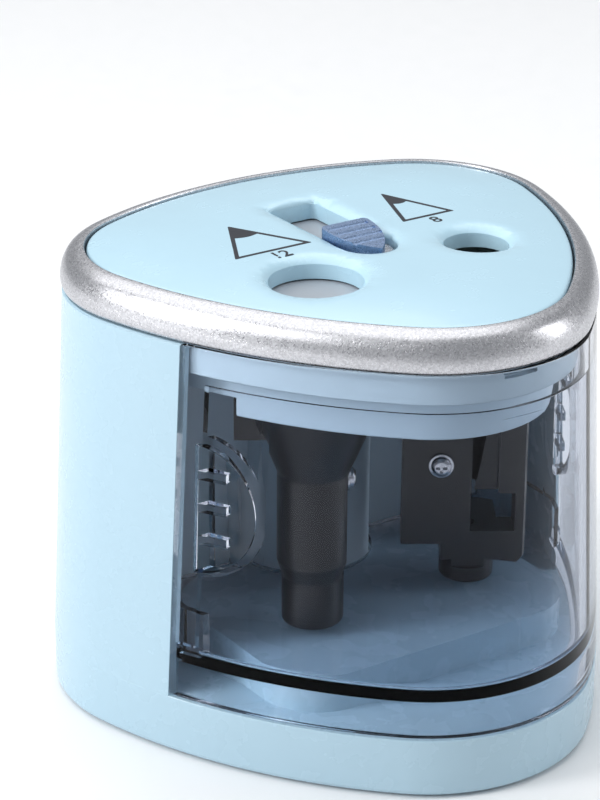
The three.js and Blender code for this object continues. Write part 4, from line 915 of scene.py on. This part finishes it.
def make_head_case():
    top = HEAD_Z - GAP
    inner = COLLAR - COLLAR_WALL
    body = plate(rounded([
        (COLLAR - 1.0, HEAD_FLOOR),
        (COLLAR, HEAD_FLOOR),
        (COLLAR, RIM_Z + GAP, 0.4),
        (COLLAR_TOP, RIM_Z + 1.0, 0.3),
        (COLLAR_TOP, top),
    ], closed=False))
    body = body - plate([(inner, GEARBOX), (inner, GEARBOX_STEP + 0.1)])
    body = body - plate([(COLLAR_TOP - HEAD_WALL, GEARBOX_STEP), (COLLAR_TOP - HEAD_WALL, top + 1)])
    skirt = ring(rounded([
        (inner, SKIRT_Z, 0.3),
        (COLLAR, SKIRT_Z, 0.4),
        (COLLAR, HEAD_FLOOR + 0.5),
        (inner, HEAD_FLOOR + 0.5),
    ])) & ahead(SEAM_Y - SEAM_LIP)
    body = body + skirt
    body = body - post(-HOLE_X, HOLE_Y, LARGE_NECK + NECK_ROOM, 0, FAR)
    body = body - post(HOLE_X, HOLE_Y, SMALL_NECK + NECK_ROOM, 0, FAR)
    body = body - post(0, MOTOR_Y, SHAFT_HOLE_R, 0, FAR)
    front = -PANEL_DEPTH / 2 - COLLAR_TOP
    body = body - block(-NOTCH_HALF, NOTCH_HALF, front - 1, front + 1.1, top - 2.0, FAR)
    piece("head_collar", body, "housing", INNER_BLUE, ["head_case"], bevel=0.15)


def make_partition():
    z0 = PART_LOW.z
    z1 = PART_HIGH.z
    inside = plate([
        (wall_offset(BASE_TOP) - SHELL_WALL - GAP, z0),
        (wall_offset(HEAD_FLOOR) - SHELL_WALL - GAP, z1),
    ])
    wall = block(-FAR / 2, FAR / 2, PARTITION_Y, PARTITION_Y + 1.6, z0, z1)
    sleeve = post(0, MOTOR_Y, SLEEVE_R, z0, z1, 96) & ahead(PARTITION_Y + 1.6)
    body = (wall + sleeve) & inside
    body = body - post(0, MOTOR_Y, SLEEVE_R - 1.3, z0 - 1, z1 + 1, 96)
    piece("motor_partition", body, "housing", INNER_BLUE, ["inner_partition"])


make_head_case()
make_partition()

# ---- shavings bin

GRIP_Z = 47.5
GRIP_R = 11.5
GRIP_DEPTH = 2.6
GRIP_FLOOR = 5.5
FLOOR_Z = PEDESTAL_TOP + GAP
FLOOR_TOP = FLOOR_Z + BIN_FLOOR
TRAY_TOP = FLOOR_TOP + 8
RIB_STEP = 6
RIB_HALF = 0.8
FLOOR_FILLET = 2.0
TAB_HALF = 5.3


def grip_frame(side):
    """The wall's outward and forward directions at a grip, and the place of its flat side."""
    y = SEAM_Y - SEAM_LIP
    x0, y0, nx, ny = min((p for p in OUTLINE if p[0] > 0), key=lambda p: abs(p[1] - y))
    offset = wall_offset(GRIP_Z)
    out = Vector((side * nx, ny, 0))
    forward = Vector((side * ny, -nx, 0))
    shift = (y0 + ny * offset - y) / nx
    origin = Vector((side * (x0 + nx * offset), y0 + ny * offset, GRIP_Z)) + forward * shift
    return origin, out, forward


def grip_prism(at, points, z0, z1):
    origin, out, forward = at
    flat = [origin + forward * a + out * b for a, b in points]
    return prism([(p.x, p.y) for p in flat], z0, z1)


def grip(side):
    at = grip_frame(side)
    z0 = GRIP_Z - GRIP_R - 4
    z1 = GRIP_Z + GRIP_R + 4
    floor = -GRIP_DEPTH
    back = floor - 1.3
    end = GRIP_R + 1.3
    boss = rod(at[0], at[1], end, back - 1, 0, 96)
    boss = boss & grip_prism(at, [(0, -1), (0, back), (GRIP_FLOOR + 1, back), (end + 1, -2.2), (end + 1, -1)],
                             z0, z1)
    pocket = rod(at[0], at[1], GRIP_R, floor - 1, 4, 96)
    pocket = pocket & grip_prism(at, [(0, 4), (0, floor), (GRIP_FLOOR, floor), (GRIP_R + 0.5, -0.7),
                                      (GRIP_R + 0.5, 4)], z0, z1)
    ribs = [grip_prism(at, [(0, -0.6), (0, floor - 0.4), (GRIP_FLOOR, floor - 0.4), (GRIP_FLOOR, -0.9)],
                       GRIP_Z + dz - RIB_HALF, GRIP_Z + dz + RIB_HALF) for dz in (-RIB_STEP, 0, RIB_STEP)]
    return boss, pocket, ribs


def half_width_at(y, offset):
    wall = [(x + nx * offset, y0 + ny * offset) for x, y0, nx, ny in OUTLINE if x > 0]
    i = next(k for k, point in enumerate(wall) if point[1] > y)
    (x0, y0), (x1, y1) = wall[i - 1], wall[i]
    return x0 + (x1 - x0) * (y - y0) / (y1 - y0)


def tray(shrink, z0, z1):
    offset = wall_offset(TRAY_TOP) - SHELL_WALL
    half = half_width_at(SEAM_Y, offset) - 2 * GAP - shrink
    reach = offset - 2 * GAP - shrink
    return plate([(reach, z0), (reach, z1)]) & block(-half, half, -FAR, PARTITION_Y - 2 * GAP, z0, z1)


def make_bin():
    bottom = BIN_LOW.z
    top = HEAD_Z - GAP
    seam = SEAM_Y - SEAM_LIP
    inner_low = wall_offset(FLOOR_TOP) - BIN_WALL
    wall = ring(rounded([
        (wall_offset(bottom) - BIN_WALL, bottom, 0.4),
        (wall_offset(bottom), bottom, 0.5),
        (wall_offset(top), top, 0.35),
        (wall_offset(top) - BIN_LIP, top, 0.3),
        (wall_offset(RIM_Z) - BIN_LIP, RIM_Z, 0.3),
        (wall_offset(RIM_Z) - BIN_WALL, RIM_Z, 0.35),
        (inner_low, FLOOR_TOP + 2),
        (inner_low, FLOOR_Z + 0.2),
        (wall_offset(bottom) - BIN_WALL, bottom + 5),
    ])) & ahead(SEAM_Y - SEAM_CRACK)
    lip_cut = ring([
        (-3, FLOOR_TOP + 2),
        (wall_offset(FLOOR_TOP + 2) - BIN_LIP, FLOOR_TOP + 2),
        (wall_offset(RIM_Z + 1) - BIN_LIP, RIM_Z + 1),
        (-3, RIM_Z + 1),
    ]) & behind(seam)
    body = wall - lip_cut
    join = wall_offset(FLOOR_Z) - BIN_WALL / 2
    floor = plate([(join, FLOOR_Z), (join, FLOOR_TOP)]) & ahead(SEAM_Y - SEAM_CRACK)
    room = SLEEVE_R + 2 * GAP
    floor = (floor + tray(0, FLOOR_Z, FLOOR_TOP)) - post(0, MOTOR_Y, room, 0, FAR, 96)
    inner = wall_offset(FLOOR_TOP) - BIN_WALL
    arc = [(inner - FLOOR_FILLET * (1 - math.sin(a)), FLOOR_TOP + FLOOR_FILLET * (1 - math.cos(a)))
           for a in [math.pi / 2 * k / 6 for k in range(7)]]
    low = FLOOR_TOP - 0.4
    fillet = ring([(inner + 0.5, low), (inner + 0.5, FLOOR_TOP + FLOOR_FILLET)] + arc[::-1]
                  + [(inner - FLOOR_FILLET, low)]) & ahead(seam)
    tray_wall = (tray(0, low, TRAY_TOP) - tray(BIN_LIP, low - 1, TRAY_TOP + 1)) & behind(seam)
    body = body + floor + fillet + tray_wall
    for side in (-1, 1):
        boss, pocket, ribs = grip(side)
        body = (body + (boss & ahead(seam))) - pocket
        for rib in ribs:
            body = body + (rib & ahead(seam))
    front_inner = -PANEL_DEPTH / 2 - wall_offset(RIM_Z) + BIN_WALL
    body = body + block(-TAB_HALF, TAB_HALF, front_inner - 1, front_inner + 0.25, RIM_Z - 2, RIM_Z - 0.2)
    piece("clear_bin", body, "bin", SMOKY, ["shavings_bin"], sharp=28)


make_bin()

# ---- cutter holders, blades and blade screws

HOLDER_TOP = HEAD_FLOOR - GAP
LARGE_STEM_TOP = HOLDER_TOP - 17
NECK_TOP = LARGE_HIGH.z
FOOT_Z = LARGE_LOW.z
STEM_FLAT = 5.1
STEM_FLAT_Y = -2.5
LARGE_SCREW_Y = 0.2
X_OUT = Vector((1, 0, 0))
Y_OUT = Vector((0, -1, 0))


def on_axis(solid, side):
    return solid.moved(Matrix.Translation((side * HOLE_X, HOLE_Y, 0)) @ Matrix.Rotation(CUTTER_TURN, 4, "Z"))


def bore(r, mouth):
    return turned([(0, FOOT_Z + 6), (1, FOOT_Z + 6), (r, mouth), (r, NECK_TOP + 1), (0, NECK_TOP + 1)])


def make_large_holder():
    stem_low = FOOT_Z + 12
    outer = turned(rounded([
        (0, FOOT_Z),
        (5.4, FOOT_Z, 0.9),
        (5.4, FOOT_Z + 9, 2.0),
        (6.3, stem_low, 2.0),
        (6.3, LARGE_STEM_TOP, 2.5),
        (12.3, HOLDER_TOP - 2, 0.6),
        (12.3, HOLDER_TOP, 0.2),
        (LARGE_NECK, HOLDER_TOP, 0.2),
        (LARGE_NECK, NECK_TOP, 0.3),
        (0, NECK_TOP),
    ], closed=False, steps=5))
    slope = block(-20, 0, -3, 3, -9, 0).moved(
        Matrix.Translation((-8.3, 0, HOLDER_TOP - 11.2)) @ Matrix.Rotation(math.radians(-32), 4, "Y"))
    wing = block(-13.6, -LARGE_BORE_R, -1.4, 1.4, HOLDER_TOP - 11, SKIRT_Z - GAP) - slope
    body = outer + wing
    body = body - block(STEM_FLAT, FAR, STEM_FLAT_Y, FAR, FOOT_Z + 9, LARGE_STEM_TOP + 2.5)
    body = body - bore(LARGE_BORE_R, LARGE_STEM_TOP + 6)
    body = body - block(0.5, FAR, -1.2, 3.2, FOOT_Z + 13, LARGE_STEM_TOP - 4)
    piece("large_cutter_holder", on_axis(body, -1), "large_cutter", BLACK,
          ["cutter_holder_large"], bevel=0.15)


def make_small_holder():
    top = HOLDER_TOP - 2.5
    drum_low = FOOT_Z + 4.5
    plate_low = FOOT_Z + 7.5
    body = turned(rounded([
        (0, FOOT_Z),
        (5.0, FOOT_Z, 0.8),
        (5.0, drum_low),
        (9.8, drum_low - 0.6),
        (10.8, drum_low + 0.6),
        (10.8, HOLDER_TOP, 0.3),
        (SMALL_NECK, HOLDER_TOP, 0.2),
        (SMALL_NECK, NECK_TOP, 0.3),
        (0, NECK_TOP),
    ], closed=False))
    body = body - block(-FAR, FAR, -FAR, -4, FOOT_Z + 3, top)
    body = body - block(-FAR, -5, -FAR, FAR, FOOT_Z + 3, top)
    body = body + block(-12.2, 0, -4, -1.4, plate_low, HOLDER_TOP)
    body = body - block(0.3, 5.4, -FAR, -2.2, plate_low + 10, top)
    body = body - block(0.2, 8.4, -FAR, FAR, plate_low + 2.6, plate_low + 10)
    body = body - block(5.6, FAR, 2, FAR, FOOT_Z + 3, top)
    body = body - bore(SMALL_BORE_R, HOLDER_TOP - 12)
    piece("small_cutter_holder", on_axis(body, 1), "small_cutter", BLACK,
          ["cutter_holder_small"], bevel=0.15)


make_large_holder()
make_small_holder()

SHEET_GAP = 0.06
BLADE_THICK = 0.6
SCREW_R = 2.3


def blade_screw(name, origin, out, side, shank, body, replaced):
    """A domed screw with a washer rim and a cross recess."""
    head = turned(rounded([
        (0, -shank),
        (1.1, -shank, 0.1),
        (1.1, SHEET_GAP),
        (SCREW_R, SHEET_GAP, 0.1),
        (SCREW_R, 0.45, 0.15),
        (SCREW_R * 0.8, 0.5, 0.05),
        (SCREW_R * 0.76, 1.1, 0.3),
        (SCREW_R * 0.5, 1.5, 0.6),
        (0, 1.55),
    ], closed=False), count=48)
    arm = SCREW_R * 0.45
    half = SCREW_R * 0.12
    head = head - block(-arm, arm, -half, half, 0.9, 3) - block(-half, half, -arm, arm, 0.9, 3)
    turn = Vector((0, 0, 1)).rotation_difference(out).to_matrix().to_4x4()
    piece(name, on_axis(head.moved(Matrix.Translation(origin) @ turn), side), body, STEEL,
          [replaced], bevel=0.05)


def make_blades():
    x = STEM_FLAT + SHEET_GAP
    large_z = LARGE_STEM_TOP - 1.6
    blade = block(x, x + BLADE_THICK, STEM_FLAT_Y + GAP, 4.2, FOOT_Z + 13.5, LARGE_STEM_TOP + 1.6)
    blade = blade - rod(Vector((0, LARGE_SCREW_Y, large_z)), X_OUT, 1.4, 0, 20, 40)
    piece("large_blade", on_axis(blade, -1), "large_cutter", BLADE, ["blade_large"],
          bevel=0.12)
    y = -1.4 + SHEET_GAP
    small = block(-10.8, -5.5, y, y + BLADE_THICK, FOOT_Z + 10.5, HOLDER_TOP - 4)
    piece("small_blade", on_axis(small, 1), "small_cutter", BLADE, ["blade_small"],
          bevel=0.12)
    blade_screw("large_blade_screw", Vector((x + BLADE_THICK, LARGE_SCREW_Y, large_z)), X_OUT, -1, 0.4,
                "large_cutter", "blade_screw_large")
    blade_screw("small_blade_screw", Vector((-5.3, -4, FOOT_Z + 23)), Y_OUT, 1, -0.1,
                "small_cutter", "blade_screw_small")


make_blades()

# ---- selector knob and rubber feet

KNOB_TOP = KNOB_HIGH.z
PAD_GROOVES = 4
PAD_GROOVE_STEP = 2.2
PAD_GROOVE_R = 0.62


def make_knob():
    half = KNOB_HIGH.x
    front = KNOB_LOW.y
    back = KNOB_HIGH.y
    shoulder = back - 1.4
    base_top = PANEL_TOP - EDGE_DROP - 0.5
    base = prism(round_ended(half, front, back, 1.1), KNOB_LOW.z, base_top)
    piece("selector_base", base, "selector", KNOB_SIDE, ["selector_knob"], bevel=0.3)
    side = []
    for k in range(17):
        t = k / 16
        x = -half * ((1 - t) ** 2 + 2 * t * (1 - t))
        y = (1 - t) ** 2 * shoulder + 2 * t * (1 - t) * (front + 4.5) + t * t * (front + 0.3)
        side.append((x, y))
    outline = side + [(-x, y) for x, y in reversed(side[:-1])]
    outline = outline + rounded([(half, shoulder), (half, back, 0.9), (-half, back, 0.9), (-half, shoulder)],
                                closed=False)[1:-1]
    pad = prism(outline, base_top + 0.02, KNOB_TOP)
    tilt = math.atan((KNOB_TOP - PANEL_TOP + 0.1) / (back - front))
    above = block(-FAR, FAR, -FAR, FAR, 0, 10).moved(
        Matrix.Translation((0, back, KNOB_TOP)) @ Matrix.Rotation(tilt, 4, "X"))
    pad = pad - above
    for i in range(PAD_GROOVES):
        y = shoulder - i * PAD_GROOVE_STEP
        z = KNOB_TOP - (back - y) * math.tan(tilt)
        groove = rod(Vector((0, y - 0.3, z + 0.25)), X_OUT, PAD_GROOVE_R, 0.8 - half, half - 0.8, 24)
        pad = pad - groove
    piece("selector_thumb_pad", pad, "selector", KNOB, ["selector_knob"], bevel=0.22)


make_knob()


def make_feet():
    for i in range(1, 5):
        low, high = span(f"rubber_foot_{i}")
        r = (high.x - low.x) / 2
        foot = turned(rounded([
            (0, low.z),
            (r - 0.4, low.z, 0.3),
            (r, high.z, 0.1),
            (0, high.z),
        ], closed=False), (low.x + high.x) / 2, (low.y + high.y) / 2, 48)
        piece(f"foot_{i}", foot, "housing", RUBBER, [f"rubber_foot_{i}"])


make_feet()

# ---- start spring, built at its rest length; the real one shortens as the slider goes back

SPRING_TURNS = 6
SPRING_WIRE = 0.16
WIRE_SIDES = 8


def make_start_spring():
    low, high = span("start_spring")
    middle = (low + high) / 2
    radius = (high.x - low.x) / 2 - SPRING_WIRE
    first, last = low.y + SPRING_WIRE, high.y - SPRING_WIRE
    steps = SPRING_TURNS * 24
    points = []
    for i in range(steps + 1):
        angle = 2 * math.pi * SPRING_TURNS * i / steps
        out = Vector((math.cos(angle), 0, math.sin(angle)))
        centre = Vector((middle.x, first + (last - first) * i / steps, middle.z)) + radius * out
        for j in range(WIRE_SIDES):
            turn = 2 * math.pi * j / WIRE_SIDES
            points.append(centre + SPRING_WIRE * (math.cos(turn) * out + math.sin(turn) * Vector((0, 1, 0))))
    faces = []
    for i in range(steps):
        here, after = i * WIRE_SIDES, (i + 1) * WIRE_SIDES
        for j in range(WIRE_SIDES):
            k = (j + 1) % WIRE_SIDES
            faces.append((here + j, here + k, after + k, after + j))
    faces.append(tuple(reversed(range(WIRE_SIDES))))
    faces.append(tuple(range(steps * WIRE_SIDES, (steps + 1) * WIRE_SIDES)))
    coil = piece("start_spring_coil", Solid(points, faces), "housing", STEEL, ["start_spring"])
    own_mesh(coil)


make_start_spring()

# ------------------------------------------------------------------ CAD nodes that stay

DRESS = {
    "bottom_cover": BLUE,
    "battery_cradle": INNER_BLUE,
    "hole_shutter": SHUTTER,
    "gear_cover": WHITE,
    "start_slider": WHITE,
    "motor_end_cap": WHITE,
    "reduction_gear": WHITE,
    "cutter_gear_": WHITE,
    "start_switch": BLACK,
    "reduction_axle": STEEL,
    "motor_can": STEEL,
    "motor_rotor": STEEL,
    "bottom_screw_": STEEL,
    "gear_cover_screw_": STEEL,
    "motor_pinion": BRASS,
    "contact_": BRASS,
    "battery_cell_": WRAP,
}
for node, made in frame["nodes"].items():
    for start, material in DRESS.items():
        if node.startswith(start) and (node == start or start.endswith("_")):
            made.data.materials.clear()
            made.data.materials.append(material)
            break

# ------------------------------------------------------------------ floor, light and camera


def make_floor():
    floor = Solid([(-4000, -4000, -0.02), (4000, -4000, -0.02), (4000, 4000, -0.02), (-4000, 4000, -0.02)],
                  [(0, 1, 2, 3)])
    floor.mesh.transform(Matrix.Scale(MM, 4))
    made = bpy.data.objects.new("floor", floor.mesh)
    bpy.context.scene.collection.objects.link(made)
    material = moulded("pale_floor", (0.90, 0.905, 0.91), 0.6, grain=0.01, vary=0.004)
    made.data.materials.append(material)


def area_light(name, place, target, size, power, colour=(1, 1, 1)):
    data = bpy.data.lights.new(name, "AREA")
    data.shape = "RECTANGLE"
    data.size, data.size_y = size
    data.energy = power
    data.color = colour
    light = bpy.data.objects.new(name, data)
    light.location = place
    light.rotation_euler = (Vector(target) - Vector(place)).to_track_quat("-Z", "Y").to_euler()
    bpy.context.scene.collection.objects.link(light)


def make_lights():
    middle = (0, 0, 0.045)
    area_light("overhead", (0.0, 0.25, 0.90), middle, (1.2, 1.2), 7.0)
    area_light("key", (-0.74, 0.16, 0.40), middle, (0.22, 0.5), 4.0)
    area_light("front", (-0.80, -0.20, 0.60), middle, (0.2, 0.5), 1.0)
    area_light("edge", (0.56, -0.34, 0.26), middle, (0.12, 0.4), 1.1)
    world = bpy.data.worlds.new("studio")
    world.use_nodes = True
    world.node_tree.nodes["Background"].inputs["Color"].default_value = (0.93, 0.96, 1.0, 1)
    world.node_tree.nodes["Background"].inputs["Strength"].default_value = 0.42
    bpy.context.scene.world = world


def make_camera():
    data = bpy.data.cameras.new("camera")
    data.lens = 128.6
    data.shift_x = 0.060
    camera = bpy.data.objects.new("camera", data)
    camera.location = (-0.2706, -0.3794, 0.2510)
    camera.rotation_euler = (math.radians(67.08), 0, math.radians(-33.06))
    bpy.context.scene.collection.objects.link(camera)
    bpy.context.scene.camera = camera


make_floor()
make_lights()
make_camera()
bpy.context.scene.view_settings.view_transform = "Standard"
